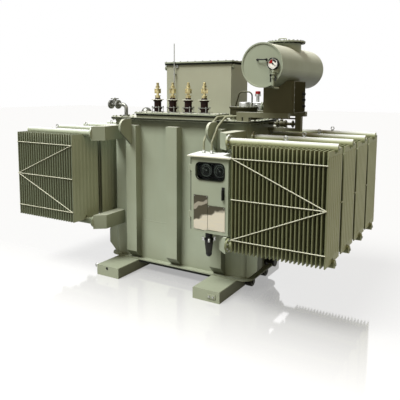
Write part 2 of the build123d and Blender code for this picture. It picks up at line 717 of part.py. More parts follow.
def door_handle():
    """Lever handle on its backplate."""
    x, low = HANDLE_X, HANDLE_Z - HANDLE_LENGTH / 2
    grip_y, boss_z = DOOR_FRONT - GRIP_STANDOFF, HANDLE_Z + BOSS_RISE
    plate = block(x - HANDLE_WIDTH / 2, x + HANDLE_WIDTH / 2, DOOR_FRONT - HANDLE_PLATE, DOOR_FRONT,
                  low, low + HANDLE_LENGTH)
    grip = bar((x, grip_y, low), (x, grip_y, HANDLE_Z + GRIP_TOP), GRIP_RADIUS)
    boss = bar((x, grip_y, boss_z), (x, DOOR_FRONT - HANDLE_PLATE, boss_z), BOSS_RADIUS)
    return plate + grip + boss


def door_glass():
    """Window pane set in the door's cut-out."""
    window = Plane(origin=(WINDOW_X, DOOR_BACK, WINDOW_Z), x_dir=(1, 0, 0), z_dir=(0, -1, 0))
    pane = RectangleRounded(WINDOW_WIDTH - 2 * SEAT, WINDOW_HEIGHT - 2 * SEAT, WINDOW_CORNER - SEAT)
    return extrude(window * pane, GLASS_THICKNESS)


def hinge_pins():
    """Pins on brackets at the side of the case."""
    pins = []
    for level in (HINGE_LOW, HINGE_HIGH):
        low = level - DOOR_GAP - HINGE_EAR
        high = level + HINGE_LENGTH + HINGE_PIN_RISE
        pin = bar((HINGE_X, HINGE_Y, low), (HINGE_X, HINGE_Y, high), HINGE_RADIUS)
        foot = CABINET_FRONT + HINGE_FOOT_INSET
        ear = block(HINGE_X - HINGE_KNUCKLE, HINGE_X + HINGE_KNUCKLE, HINGE_Y - HINGE_KNUCKLE,
                    foot, low, level - DOOR_GAP)
        ear += block(HINGE_X - HINGE_KNUCKLE, CABINET_LEFT, foot, foot + HINGE_LENGTH,
                     low, level - DOOR_GAP)
        pins.append(pin + ear)
    return pins


def conduit_xs():
    """Middles of the two conduits, one on each side of the lifting lug."""
    return [STIFFENER_PITCH - CONDUIT_SPREAD / 2, STIFFENER_PITCH + CONDUIT_SPREAD / 2]


def cabinet_roof():
    """Sloped rain roof with overhangs and a boss for each conduit."""
    x0 = CABINET_LEFT - ROOF_OVERHANG
    length = CABINET_WIDTH + 2 * ROOF_OVERHANG
    y0, y1 = CABINET_FRONT - ROOF_FRONT, CABINET_BACK
    outline = [
        (x0, y0, CABINET_HIGH), (x0, y1, CABINET_HIGH),
        (x0, y1, CABINET_HIGH + 2 * ROOF_THICKNESS), (x0, y0, CABINET_HIGH + ROOF_THICKNESS),
    ]
    roof = prism(outline, (length, 0, 0))
    for x in conduit_xs():
        roof += bar((x, CONDUIT_END_Y, CABINET_HIGH), (x, CONDUIT_END_Y, CONDUIT_END_Z), CONDUIT_RADIUS)
    return roof


def conduit(x):
    """Bent conduit from a boss on the cover, over the rim and down to the cabinet roof."""
    start_x = x + CONDUIT_RUN
    start_z = COVER_TOP + CONDUIT_BOSS_HEIGHT
    rim_y = -TANK_FACE - RIM_OVERHANG
    points = [
        (start_x, CONDUIT_START_Y, start_z), (start_x, CONDUIT_START_Y, CONDUIT_LEVEL + CONDUIT_RADIUS),
        (x + CONDUIT_SHIFT, rim_y, CONDUIT_LEVEL), (x, rim_y - CONDUIT_DROP, CONDUIT_LEVEL - CONDUIT_DROP),
        (x, CONDUIT_END_Y, CONDUIT_END_Z + CONDUIT_DROP), (x, CONDUIT_END_Y, CONDUIT_END_Z),
    ]
    boss = bar((start_x, CONDUIT_START_Y, COVER_TOP), (start_x, CONDUIT_START_Y, start_z), CONDUIT_BOSS)
    return pipe(points, CONDUIT_RADIUS, CONDUIT_TURN) + boss


def cabinet_rails():
    """Two rails between the case and the stiffener behind it."""
    rails = []
    for z in (RAIL_LOW, RAIL_HIGH):
        rails.append(block(STIFFENER_PITCH - STIFFENER_WIDTH / 2, STIFFENER_PITCH + STIFFENER_WIDTH / 2,
                           CABINET_BACK, -STIFFENER_FACE, z, z + RAIL_HEIGHT))
    return rails


def dial(x):
    """Round thermometer on a stem from the back of the case."""
    face = CABINET_FRONT + DIAL_SETBACK
    body = bar((x, face, WINDOW_Z), (x, face + DIAL_DEPTH, WINDOW_Z), DIAL_RADIUS)
    stem = bar((x, face + DIAL_DEPTH, WINDOW_Z), (x, CABINET_BACK - CABINET_WALL, WINDOW_Z),
               DIAL_STEM_RADIUS)
    return body + stem


def breather():
    """Breather hung under the cabinet: stem, collar, jar and oil cup."""
    jar, collar = BREATHER_RADIUS, BREATHER_COLLAR
    collar_low = -BREATHER_NECK - BREATHER_COLLAR_HEIGHT
    jar_low = collar_low - BREATHER_JAR
    cup_low = jar_low - BREATHER_CUP
    outline = [
        (0, 0), (BREATHER_STEM, 0), (BREATHER_STEM, -BREATHER_NECK), (collar, -BREATHER_NECK),
        (collar, collar_low), (jar, collar_low), (jar, jar_low), (jar - BREATHER_STEM / 2, jar_low),
        (BREATHER_STEM, cup_low), (0, cup_low),
    ]
    return turned(outline, BREATHER_X, BREATHER_Y, CABINET_LOW)


def filter_valve():
    """Angle pipe on the cover with a flanged valve at its end."""
    x, y, z, r = VALVE_INSET - TANK_END, VALVE_Y, VALVE_LEVEL, VALVE_PIPE_RADIUS
    body = pipe([(x, y, COVER_TOP), (x, y, z), (x - VALVE_REACH, y, z)], r, VALVE_TURN)
    body += bar((x, y, COVER_TOP), (x, y, COVER_TOP + FLANGE_THICKNESS), 2 * r)
    for near in (VALVE_FLANGE_NEAR, VALVE_FLANGE_FAR):
        body += bar((x - near, y, z), (x - near - FLANGE_THICKNESS, y, z), VALVE_FLANGE_RADIUS)
    stem_x = x - VALVE_STEM_REACH
    return body + bar((stem_x, y, z), (stem_x, y, z + VALVE_STEM_HEIGHT), r)


def relief_dome():
    """Domed pressure-relief vent on the cover."""
    x, y, r, low = DOME_INSET - TANK_END, DOME_Y, DOME_RADIUS, COVER_TOP + DOME_RISE
    base = bar((x, y, COVER_TOP), (x, y, low), r)
    cap = Pos(x, y, low) * Sphere(r)
    return base + (cap - block(x - r, x + r, y - r, y + r, COVER_TOP - r, low))


def tap_changer_head():
    """Round head of the tap changer with its lid, and the vent hoop that stands on the lid."""
    x, y = TANK_END - TAP_HEAD_INSET, TAP_HEAD_Y
    lid_low = COVER_TOP + TAP_HEAD_HEIGHT
    lid_top = lid_low + TAP_LID
    body = bar((x, y, COVER_TOP), (x, y, lid_low), TAP_HEAD_RADIUS)
    body += bar((x, y, lid_low), (x, y, lid_top), TAP_LID_RADIUS)
    hoop = pipe([(x - HOOP_REACH, y, lid_top), (x - HOOP_LEAN, y, lid_top + HOOP_RISE),
                 (x + HOOP_REACH, y, lid_top + HOOP_RISE), (x + HOOP_REACH, y, lid_top)],
                HOOP_RADIUS, HOOP_TURN)
    r = TAP_LID_RADIUS
    trim = block(x - r, x + r, y - r, y + r, lid_low, lid_top)
    return body + (hoop - trim)


def tap_changer_cap():
    """Round-edged cap on the lid of the tap changer."""
    x, y = TANK_END - TAP_HEAD_INSET + TAP_CAP_OFFSET, TAP_HEAD_Y
    low = COVER_TOP + TAP_HEAD_HEIGHT + TAP_LID
    cap = bar((x, y, low), (x, y, low + TAP_CAP_HEIGHT), TAP_CAP_RADIUS)
    return fillet(cap.edges().group_by(Axis.Z)[-1], TAP_CAP_EDGE)


def drain_valve():
    """Flanged drain valve with its handwheel, low on the +X end wall beside the rear stiffener."""
    stiffener_edge = TANK_FACE - END_STIFFENER_SETBACK - END_STIFFENER_WIDTH
    y = stiffener_edge - DRAIN_FLANGE_RADIUS - DRAIN_CLEARANCE
    z, end = DRAIN_Z, TANK_END + DRAIN_REACH
    body = bar((TANK_END, y, z), (end, y, z), DRAIN_RADIUS)
    for x in (TANK_END, end - FLANGE_THICKNESS):
        body += bar((x, y, z), (x + FLANGE_THICKNESS, y, z), DRAIN_FLANGE_RADIUS)
    wheel_x, wheel_z = TANK_END + DRAIN_REACH / 2, z + DRAIN_STEM_HEIGHT
    body += bar((wheel_x, y, z), (wheel_x, y, wheel_z), DRAIN_STEM_RADIUS)
    return body + bar((wheel_x, y, wheel_z - DRAIN_WHEEL), (wheel_x, y, wheel_z), DRAIN_FLANGE_RADIUS)


def main():
    sides = {"right": lambda s: s, "left": mirrored_x}
    ends = {"front": lambda s: s, "rear": mirrored_y}
    corners = [lambda s, turn=turn, flip=flip: turn(flip(s))
               for turn in sides.values() for flip in ends.values()]
    save("skids", *[turn(skid()) for turn in sides.values()])
    save("rollers", *[place(roller()) for place in corners])
    for side, turn in sides.items():
        for row in range(RADIATOR_COUNT):
            save(f"radiator_{side}_{row + 1}", *[turn(s) for s in radiator(row)])
    save("radiator_ties", *[turn(s) for turn in sides.values() for s in ties()])
    save("bracing", *[place(bracing()) for place in corners])
    save("end_stiffeners", *[place(end_stiffener()) for place in corners])
    save("tank_wall", tank_wall())
    save("tank_floor", tank_floor())
    save("tank_rim", tank_rim())
    save("cover", cover())
    for end, flip in ends.items():
        save(f"oil_ducts_{end}", *[turn(flip(oil_duct(z))) for turn in sides.values()
                                   for z in (HEADER_LOW, HEADER_HIGH)])
        save(f"stiffeners_{end}", *[flip(stiffener(x)) for x in STIFFENER_XS])
    save("lifting_lugs", *[flip(lifting_lug(x)) for flip in ends.values()
                           for x in (-STIFFENER_PITCH, STIFFENER_PITCH)])
    turret_back = TURRET_FRONT + TURRET_DEPTH
    save("bushing_turret", block(-TURRET_LENGTH / 2, TURRET_LENGTH / 2, TURRET_FRONT + TURRET_LIP,
                                 turret_back - TURRET_LIP, COVER_TOP, COVER_TOP + TURRET_HEIGHT))
    save("bushing_plate", block(-TURRET_LENGTH / 2 - TURRET_LIP, TURRET_LENGTH / 2 + TURRET_LIP,
                                TURRET_FRONT, turret_back, COVER_TOP + TURRET_HEIGHT, PLATE_TOP))
    bushing_xs = [BUSHING_PITCH * (i - (BUSHING_COUNT - 1) / 2) for i in range(BUSHING_COUNT)]
    save("bushing_insulators", *[bushing(x) for x in bushing_xs])
    save("bushing_terminals", *[terminal(x) for x in bushing_xs])
    half = CABLE_BOX_WIDTH / 2
    back = CABLE_BOX_FRONT + CABLE_BOX_DEPTH
    box_top = COVER_TOP + CABLE_BOX_HEIGHT
    lip = CABLE_BOX_LID_LIP
    save("cable_box", block(-half, half, CABLE_BOX_FRONT, back, COVER_TOP, box_top))
    save("cable_box_lid", block(-half - lip, half + lip, CABLE_BOX_FRONT - lip, back + lip,
                                box_top, box_top + CABLE_BOX_LID))
    save("conservator_barrel", conservator_barrel())
    for end, flip in ends.items():
        save(f"conservator_end_{end}", flip(conservator_end()))
    save("conservator_manhole", manhole())
    gauge_x, gauge_z = CONSERVATOR_X + GAUGE_OFFSET, CONSERVATOR_Z + GAUGE_RISE
    gauge_face = -CONSERVATOR_LENGTH / 2 + END_RIM
    save("oil_level_gauge", bar((gauge_x, gauge_face, gauge_z), (gauge_x, gauge_face - GAUGE_DEPTH, gauge_z),
                                GAUGE_RADIUS))
    save("support_beams", *support_beams(), beam_bracket())
    save("pedestal", pedestal())
    save("rear_saddle", rear_saddle())
    save("oil_pipe", *oil_pipe())
    save("gas_relay", gas_relay())
    save("relay_cap", relay_cap())
    save("marshalling_cabinet", cabinet())
    save("cabinet_door", cabinet_door())
    save("door_handle", door_handle())
    save("door_glass", door_glass())
    save("hinge_pins", *hinge_pins())
    save("cabinet_roof", cabinet_roof())
    save("cabinet_rails", *cabinet_rails())
    save("thermometers", *[dial(CABINET_LEFT + WINDOW_INSET + x) for x in (DIAL_LEFT, DIAL_RIGHT)])
    save("conduits", *[conduit(x) for x in conduit_xs()])
    save("breather", breather())
    save("filter_valve", filter_valve())
    save("relief_dome", relief_dome())
    save("tap_changer_head", tap_changer_head())
    save("tap_changer_cap", tap_changer_cap())
    save("drain_valve", drain_valve())
    rod_y = CABLE_BOX_FRONT - ROD_GAP
    save("lightning_rod", bar((ROD_X, rod_y, COVER_TOP), (ROD_X, rod_y, ROD_TOP), ROD_RADIUS))


main()
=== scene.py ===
"""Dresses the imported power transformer: finishes, fasteners, dials, small fittings, floor, light, camera."""
import json
from functools import partial
from math import cos, pi, radians, sin, sqrt

import bmesh
import bpy
from mathutils import Matrix, Vector


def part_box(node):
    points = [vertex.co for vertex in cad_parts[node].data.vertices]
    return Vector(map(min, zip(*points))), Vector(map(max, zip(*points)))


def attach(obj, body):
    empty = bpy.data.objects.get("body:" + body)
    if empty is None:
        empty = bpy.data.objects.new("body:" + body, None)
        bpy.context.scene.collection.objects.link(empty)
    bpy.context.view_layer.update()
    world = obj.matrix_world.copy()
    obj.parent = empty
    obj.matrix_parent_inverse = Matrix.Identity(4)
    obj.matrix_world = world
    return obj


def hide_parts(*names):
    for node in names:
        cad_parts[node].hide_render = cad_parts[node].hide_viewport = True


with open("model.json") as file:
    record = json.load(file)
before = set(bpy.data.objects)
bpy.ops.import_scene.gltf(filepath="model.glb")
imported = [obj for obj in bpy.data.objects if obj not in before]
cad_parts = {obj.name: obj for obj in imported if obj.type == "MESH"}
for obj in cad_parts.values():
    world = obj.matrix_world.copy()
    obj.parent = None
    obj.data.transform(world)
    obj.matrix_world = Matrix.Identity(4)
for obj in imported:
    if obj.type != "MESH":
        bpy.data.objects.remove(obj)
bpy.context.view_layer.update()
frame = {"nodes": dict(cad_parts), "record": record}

# Shapes are worked out in millimetres, and mesh_of and strewn turn them to metres.
MM = 0.001
TRANSFORMER = "transformer"
DOOR = "door"
UP, DOWN = Vector((0, 0, 1)), Vector((0, 0, -1))
FRONT, BACK = Vector((0, -1, 0)), Vector((0, 1, 0))
RIGHT = Vector((1, 0, 0))
SIDES = (("right", 1), ("left", -1))
ROWS = range(1, 5)

# The camera, as fitted to the corners of both radiator banks on a 400 by 400 picture.
PICTURE = 400
CAMERA_PLACE = (3.606, -5.8424, 2.4628)
CAMERA_YAW = 0.539
CAMERA_DROP = 0.117
CAMERA_ROLL = -0.004
FOCAL_PIXELS = 500.918
PRINCIPAL_PIXEL = (199.5, 150.57)
SENSOR_MM = 36.0

# Paint and metal colours, sRGB, with the dust and grime that lie on them. The dust colours also serve as a
# painted highlight on upward faces, and the colours named for shade are painted shade.
PAINT = "#969E8B"
PAINT_DUST_AND_HIGHLIGHT = "#D2D4C4"
PAINT_GRIME = "#6E6F58"
RADIATOR_PAINT = "#979C79"
RADIATOR_DUST_AND_HIGHLIGHT = "#E0E4E4"
EDGE_DARKENING = "#55583F"
# Painted shade, between radiator panels, on undersides and low side faces, and under the rim.
PAINTED_SHADE = "#393A28"
LEFT_RADIATOR_PAINTED_LIGHT = "#A6AF98"
LEFT_EDGE_DARKENING = "#565D4A"
LEFT_PAINTED_SHADE = "#44463A"
WARM_PAINT = "#A1A390"
CONDUIT_PAINT = "#868972"
CONDUIT_DUST_AND_HIGHLIGHT = "#A4A68F"
BRACING_PAINT = "#B4B5A0"
BEAM_PAINTED_SHADE = "#72735E"
RIM_PAINTED_SHADE = "#6A6F5F"
TURRET_PAINTED_SHADE = "#7E8270"
HEAD_PAINTED_SHADE = "#3D3C2C"
HEAD_SHADED_GRIME = "#24231A"
DARK_PAINTED_SHADE = "#57553F"
DARK_DUST_AND_HIGHLIGHT = "#A9AA96"
DARK_SHADED_GRIME = "#3B3A2A"
PALE_PAINT = "#D2D3C0"
PALE_DUST_AND_HIGHLIGHT = "#F2F6F4"
PALE_GRIME = "#9A9B86"
BLACK_IRON = "#1C1B18"
IRON_DUST_AND_HIGHLIGHT = "#3A3934"
IRON_GRIME = "#12110F"
PORCELAIN = "#140B08"
PORCELAIN_PALE = "#2C1811"
BRASS = "#E2D5A0"
BRASS_TARNISH_AND_REFLECTION = "#4A3C1C"
STEEL = "#B9BAB6"
STEEL_DARK = "#77786F"
TARNISHED = "#94958D"
TARNISHED_DARK = "#3C3C36"
# The stainless is tinted warm, partly as a painted reflection of warm surroundings.
STAINLESS = "#D6C8A4"
STAINLESS_PAINTED_REFLECTION = "#2A2613"
CAST_ALUMINIUM = "#CFD0CC"
RUBBER = "#20221F"
BLACK_PLASTIC = "#161613"
DRYING_GRAINS = "#24251E"
RED_ENAMEL = "#8E1A18"
DIAL_WHITE = "#ECEBE4"
GLASS_TINT = "#A6AFAA"

# Where the gaps between the radiator panels lie, by distance from the middle of the tank, in metres.
BANK_MIDDLE = 1.6995
BANK_REACH = 0.515
PANEL_TOP = 1.894
# The bands of the paint, in metres: painted shade under the rim, the top of the panels where their edges
# darken less, darker paint along the floor, and painted shade low on the faces that look along X.
RIM_SHADE_DEPTH = 0.2
PANEL_SHOULDER = 0.16
FLOORWARD_DARKENING_TOP = 0.4
SHADED_LOW, SHADED_HIGH = 0.45, 0.8
# The painted dark reflection on the door plates: how its edge leans and waves, and the lighter strip across
# it, in metres.
REFLECTION_LEAN = -0.35
REFLECTION_WAVE = 0.12
REFLECTION_START, REFLECTION_FULL = 0.82, 0.845
REFLECTION_LIGHT_BAND, REFLECTION_LIGHT_BAND_REACH = 0.985, 0.026

FLOOR_WHITE = "#F4F4F2"
FLOOR_GREY = "#8C8C88"
FLOOR_LIFT = 0.74
FLOOR_POLISH = 0.5
POLISH_END, POLISH_FULL = -2.2, -0.5
FLOOR_REACH = 60.0
FILL_LEVEL = 0.25
FILL_COLOUR = "#FFEAC6"
WHITE = (1, 1, 1, 1)

# Sockets of a colour mix: its share, the colour below, the colour on top, and its result.
SHARE, BELOW, ABOVE = 0, 6, 7
MIXED = 2


def linear(colour):
    """An sRGB hex colour as linear RGBA."""
    parts = [int(colour[i:i + 2], 16) / 255 for i in (1, 3, 5)]
    return [p / 12.92 if p <= 0.04045 else ((p + 0.055) / 1.055) ** 2.4 for p in parts] + [1.0]


def give(made, values):
    """Sets a node's properties and sockets; a socket, or another node's main output, is linked."""
    for name, value in values.items():
        if isinstance(value, bpy.types.Node):
            value = value.outputs[MIXED if value.bl_idname == "ShaderNodeMix" else 0]
        if isinstance(value, bpy.types.NodeSocket):
            made.id_data.links.new(value, made.inputs[name])
        elif isinstance(name, str) and hasattr(made, name):
            setattr(made, name, value)
        else:
            made.inputs[name].default_value = value


def node(tree, kind, values=None):
    """Adds a node with its settings and links; a kind without its prefix is a shader node."""
    made = tree.nodes.new(kind if "Node" in kind else f"ShaderNode{kind}")
    give(made, values or {})
    return made


def new_material(name):
    """An empty node material: itself, what adds a node to it, its shader and its Object coordinates."""
    material = bpy.data.materials.new(name)
    material.use_nodes = True
    material.node_tree.nodes.clear()
    add = partial(node, material.node_tree)
    shader = add("BsdfPrincipled")
    add("OutputMaterial", {"Surface": shader})
    return material, add, shader, add("TexCoord").outputs["Object"]


def per_metre(size_mm):
    """The noise scale that gives a pattern of that size."""
    return 1.0 / (size_mm * MM)


def panel_gap_shade_and_edges(add, height, facing, sideways):
    """Shares of the painted shade on the flat faces between a radiator's panels, and of the darkening of the
    panels' edges.
    """
    along = add("Math", {"operation": "ABSOLUTE", 0: height["X"]})
    between = add("Math", {"operation": "COMPARE", 0: along, 1: BANK_MIDDLE, 2: BANK_REACH})
    flat = add("MapRange", {"Value": sideways, "From Min": 0.8, "From Max": 0.95, "To Max": 0.42})
    # Painted shade on the flat faces between the panels.
    painted_gap_shade = add("Math", {"operation": "MULTIPLY", 0: between, 1: flat})
    # The panels' edges are made darker, less so near their tops.
    endways = add("Math", {"operation": "ABSOLUTE", 0: facing["Y"]})
    edge = add("MapRange", {"Value": endways, "From Min": 0.5, "From Max": 0.9, "To Max": 0.8})
    below = add("MapRange", {"Value": height["Z"], "From Min": PANEL_TOP - PANEL_SHOULDER,
                             "From Max": PANEL_TOP, "To Min": 1.0, "To Max": 0.3})
    panels = add("Math", {"operation": "LESS_THAN", 0: height["Z"], 1: PANEL_TOP})
    darker_edge = add("Math", {"operation": "MULTIPLY", 0: edge, 1: below})
    return painted_gap_shade, add("Math", {"operation": "MULTIPLY", 0: darker_edge, 1: panels})


def painted_low_and_under_shade(add, height, facing, sideways):
    """Share of the painted shade on low faces that look along X, and of the painted shade on undersides."""
    aside = add("MapRange", {"Value": sideways, "From Min": 0.2, "From Max": 0.9, "To Max": 0.6})
    low_down = add("MapRange", {"Value": height["Z"], "From Min": SHADED_LOW, "From Max": SHADED_HIGH,
                                "To Min": 1.0, "To Max": 0.0})
    low_side_shade = add("Math", {"operation": "MULTIPLY", 0: aside, 1: low_down})
    # Painted shade on faces that look down.
    under = add("MapRange", {"Value": facing["Z"], "From Min": -0.15, "From Max": -0.5, "To Max": 0.6})
    return add("Math", {"operation": "MAXIMUM", 0: low_side_shade, 1: under})


def sprayed_paint(name, colour, dust=PAINT_DUST_AND_HIGHLIGHT, grime=PAINT_GRIME, gap_shade=None, edge_darkening=None,
                  rim_level=None, shine=0.08):
    """Two-pack paint sprayed on steel: an even coat with a faint orange peel, pale dust on the faces that look
    up, which also serves as a painted highlight of the overhead light, thin dull streaks down the walls, and
    darker paint towards the floor. Undersides, low faces that look along X and a wall below its rim get
    painted shade. A radiator has painted shade between its panels and darker edges instead, and its dust and
    painted highlight on its headers alone."""
    material, add, shader, place = new_material(name)
    facing = add("SeparateXYZ", {"Vector": add("NewGeometry").outputs["True Normal"]}).outputs
    height = add("SeparateXYZ", {"Vector": place}).outputs
    sideways = add("Math", {"operation": "ABSOLUTE", 0: facing["X"]})
    cloud = add("TexNoise", {"Vector": place, "Scale": per_metre(420), "Detail": 3.0})
    tone = add("MapRange", {"Value": cloud, "From Min": 0.3, "From Max": 0.7, "To Max": 0.16})
    stretch = add("Mapping", {"Vector": place, "Scale": (1.0, 1.0, 0.06)})
    streak = add("TexNoise", {"Vector": stretch, "Scale": per_metre(85), "Detail": 4.0})
    run = add("MapRange", {"Value": streak, "From Min": 0.56, "From Max": 0.78, "To Max": 0.12})
    # Pale dust on faces that look up, more of it higher up; its colour also serves as a painted highlight of
    # the overhead light.
    high_up = add("MapRange", {"Value": height["Z"], "From Min": 0.1, "From Max": 1.6, "To Max": 0.85})
    lying = add("MapRange", {"Value": facing["Z"], "From Min": 0.25, "From Max": 0.9})
    settled_dust_and_highlight = add("Math", {"operation": "MULTIPLY", 0: lying, 1: high_up})
    if gap_shade:
        header = add("Math", {"operation": "GREATER_THAN", 0: height["Z"], 1: PANEL_TOP})
        settled_dust_and_highlight = add("Math", {"operation": "MULTIPLY", 0: settled_dust_and_highlight, 1: header})
    # The paint is darker towards the floor.
    floorward_darkening = add("MapRange", {"Value": height["Z"], "From Max": FLOORWARD_DARKENING_TOP, "To Min": 0.42, "To Max": 0.0})
    layers = [(tone, grime), (run, grime), (settled_dust_and_highlight, dust), (floorward_darkening, grime)]
    # A radiator gets painted shade between its panels and darker edges.
    if gap_shade:
        layers += zip(panel_gap_shade_and_edges(add, height, facing, sideways), (gap_shade, edge_darkening))
    else:
        # Painted shade on low faces that look along X and on undersides.
        layers.append((painted_low_and_under_shade(add, height, facing, sideways), PAINTED_SHADE))
    # Painted shade on the wall below its rim.
    if rim_level:
        painted_rim_shade = add("MapRange", {"Value": height["Z"], "From Min": rim_level - RIM_SHADE_DEPTH,
                                     "From Max": rim_level, "To Max": 0.55})
        layers.append((painted_rim_shade, PAINTED_SHADE))
    coat = linear(colour)
    for share, cover in layers:
        coat = add("Mix", {"data_type": "RGBA", SHARE: share, BELOW: coat, ABOVE: linear(cover)})
    gloss = add("MapRange", {"Value": cloud, "To Min": 0.36, "To Max": 0.52})
    peel = add("TexNoise", {"Vector": place, "Scale": per_metre(7), "Detail": 2.0})
    bump = add("Bump", {"Height": peel, "Strength": 0.12, "Distance": 0.4 * MM})
    give(shader, {"Base Color": coat, "Roughness": gloss, "Normal": bump, "Specular IOR Level": shine})
    return material


def glazed_porcelain():
    """Brown salt-glazed porcelain: a hard bright coat over a body that pools darker in places."""
    material, add, shader, place = new_material("glazed_porcelain")
    pool = add("TexNoise", {"Vector": place, "Scale": per_metre(26), "Detail": 3.0})
    body = add("Mix", {"data_type": "RGBA", SHARE: pool, BELOW: linear(PORCELAIN),
                       ABOVE: linear(PORCELAIN_PALE)})
    gloss = add("MapRange", {"Value": pool, "To Min": 0.08, "To Max": 0.2})
    give(shader, {"Base Color": body, "Roughness": gloss, "Specular IOR Level": 0.06, "Coat Weight": 0.06,
                  "Coat Roughness": 0.06})
    return material


def worn_metal(name, colour, dull, grain_mm, smooth, rough):
    """Bare metal, turned or rolled: duller patches and a fine grain in its gloss."""
    material, add, shader, place = new_material(name)
    patch = add("TexNoise", {"Vector": place, "Scale": per_metre(grain_mm), "Detail": 5.0})
    tone = add("MapRange", {"Value": patch, "From Min": 0.35, "From Max": 0.75})
    body = add("Mix", {"data_type": "RGBA", SHARE: tone, BELOW: linear(colour), ABOVE: linear(dull)})
    gloss = add("MapRange", {"Value": tone, "To Min": smooth, "To Max": rough})
    give(shader, {"Base Color": body, "Roughness": gloss, "Metallic": 1.0})
    return material


def brushed_stainless():
    """Stainless sheet, brushed along its width: long fine lines that soften what it mirrors, and a painted
    dark brown reflection over its upper part, with one lighter strip across it."""
    material, add, shader, place = new_material("brushed_stainless")
    along = add("Mapping", {"Vector": place, "Scale": (0.02, 1.0, 1.0)})
    lines = add("TexNoise", {"Vector": along, "Scale": per_metre(2.5), "Detail": 3.0})
    body = add("Mix", {"data_type": "RGBA", SHARE: lines, BELOW: linear(STAINLESS), ABOVE: linear(STEEL)})
    wave = add("TexNoise", {"Vector": place, "Scale": per_metre(130), "Detail": 2.0})
    height = add("SeparateXYZ", {"Vector": place}).outputs
    tilt = add("Math", {"operation": "MULTIPLY_ADD", 0: height["X"], 1: REFLECTION_LEAN, 2: height["Z"]})
    lean = add("Math", {"operation": "MULTIPLY_ADD", 0: wave, 1: REFLECTION_WAVE, 2: tilt})
    # Painted dark reflection over the upper part of the plate, with a lighter band across it.
    film = add("MapRange", {"Value": lean, "From Min": REFLECTION_START, "From Max": REFLECTION_FULL, "To Max": 0.9})
    light_band = add("Math", {"operation": "COMPARE", 0: lean, 1: REFLECTION_LIGHT_BAND, 2: REFLECTION_LIGHT_BAND_REACH})
    band_share = add("MapRange", {"Value": light_band, "To Min": 1.0, "To Max": 0.55})
    left = add("Math", {"operation": "MULTIPLY", 0: film, 1: band_share})
    with_reflection = add("Mix", {"data_type": "RGBA", SHARE: left, BELOW: body, ABOVE: linear(STAINLESS_PAINTED_REFLECTION)})
    gloss = add("MapRange", {"Value": lines, "To Min": 0.1, "To Max": 0.24})
    give(shader, {"Base Color": with_reflection, "Roughness": gloss, "Metallic": 1.0})
    return material


def moulded_plastic(name, colour, rough, shine=0.2):
    """Moulded plastic, rubber or enamel with a fine even grain and small differences in gloss."""
    material, add, shader, place = new_material(name)
    grain = add("TexNoise", {"Vector": place, "Scale": per_metre(3), "Detail": 2.0})
    level = add("MapRange", {"Value": grain, "To Min": 0.85, "To Max": 1.15})
    hue = add("HueSaturation", {"Value": level, "Color": linear(colour)})
    gloss = add("MapRange", {"Value": grain, "To Min": rough - 0.06, "To Max": rough + 0.06})
    give(shader, {"Base Color": hue, "Roughness": gloss, "Specular IOR Level": shine})
    return material


def window_glass():
    """Tinted float glass, with a faint film of dust that dulls its gloss in patches."""
    material, add, shader, place = new_material("window_glass")
    film = add("TexNoise", {"Vector": place, "Scale": per_metre(60), "Detail": 4.0})
    gloss = add("MapRange", {"Value": film, "To Min": 0.0, "To Max": 0.08})
    give(shader, {"Base Color": linear(GLASS_TINT), "Roughness": gloss, "Specular IOR Level": 0.15,
                  "Transmission Weight": 1.0, "IOR": 1.14})
    return material


paint = sprayed_paint("sprayed_paint", PAINT)
radiator_paint = sprayed_paint("radiator_sprayed_paint", RADIATOR_PAINT, RADIATOR_DUST_AND_HIGHLIGHT,
                               gap_shade=PAINTED_SHADE, edge_darkening=EDGE_DARKENING)
# A greyer, lighter copy of the radiator paint for the left bank: painted light for the cooler light that bank
# sits in.
left_radiator_painted_light = sprayed_paint("left_radiator_coat_painted_light", LEFT_RADIATOR_PAINTED_LIGHT, RADIATOR_DUST_AND_HIGHLIGHT,
                                    gap_shade=LEFT_PAINTED_SHADE, edge_darkening=LEFT_EDGE_DARKENING)
# A darker copy of the paint for the pedestal and the pipework beside it: painted shade under the conservator.
dark_painted_shade = sprayed_paint("dark_coat_painted_shade", DARK_PAINTED_SHADE, DARK_DUST_AND_HIGHLIGHT, DARK_SHADED_GRIME)
# A darker copy of the paint for the support beams: painted shade under the conservator.
beam_painted_shade = sprayed_paint("beam_coat_painted_shade", BEAM_PAINTED_SHADE, grime=DARK_SHADED_GRIME)
# The tank wall's paint, with painted shade below its rim.
wall_paint = sprayed_paint("wall_sprayed_paint", PAINT, rim_level=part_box("tank_rim")[0][2])
# A darker copy of the paint for the rim, the cover and the rim nuts: painted shade.
rim_painted_shade = sprayed_paint("rim_coat_painted_shade", RIM_PAINTED_SHADE)
# A darker copy of the paint for the bushing turret: painted shade under the bushing plate.
turret_painted_shade = sprayed_paint("turret_coat_painted_shade", TURRET_PAINTED_SHADE)
# A near-black copy of the paint for the tap changer head and the pedestal's side cover: painted shade.
head_painted_shade = sprayed_paint("head_coat_painted_shade", HEAD_PAINTED_SHADE, DARK_DUST_AND_HIGHLIGHT, HEAD_SHADED_GRIME, shine=0.0)
# A paler, warmer paint for the cable box.
warm_paint = sprayed_paint("warm_coat", WARM_PAINT)
conduit_paint = sprayed_paint("conduit_sprayed_paint", CONDUIT_PAINT, CONDUIT_DUST_AND_HIGHLIGHT)
bracing_paint = sprayed_paint("bracing_sprayed_paint", BRACING_PAINT)
black_iron = sprayed_paint("black_painted_iron", BLACK_IRON, IRON_DUST_AND_HIGHLIGHT, IRON_GRIME)
pale_paint = sprayed_paint("pale_sprayed_paint", PALE_PAINT, PALE_DUST_AND_HIGHLIGHT, PALE_GRIME)
porcelain = glazed_porcelain()
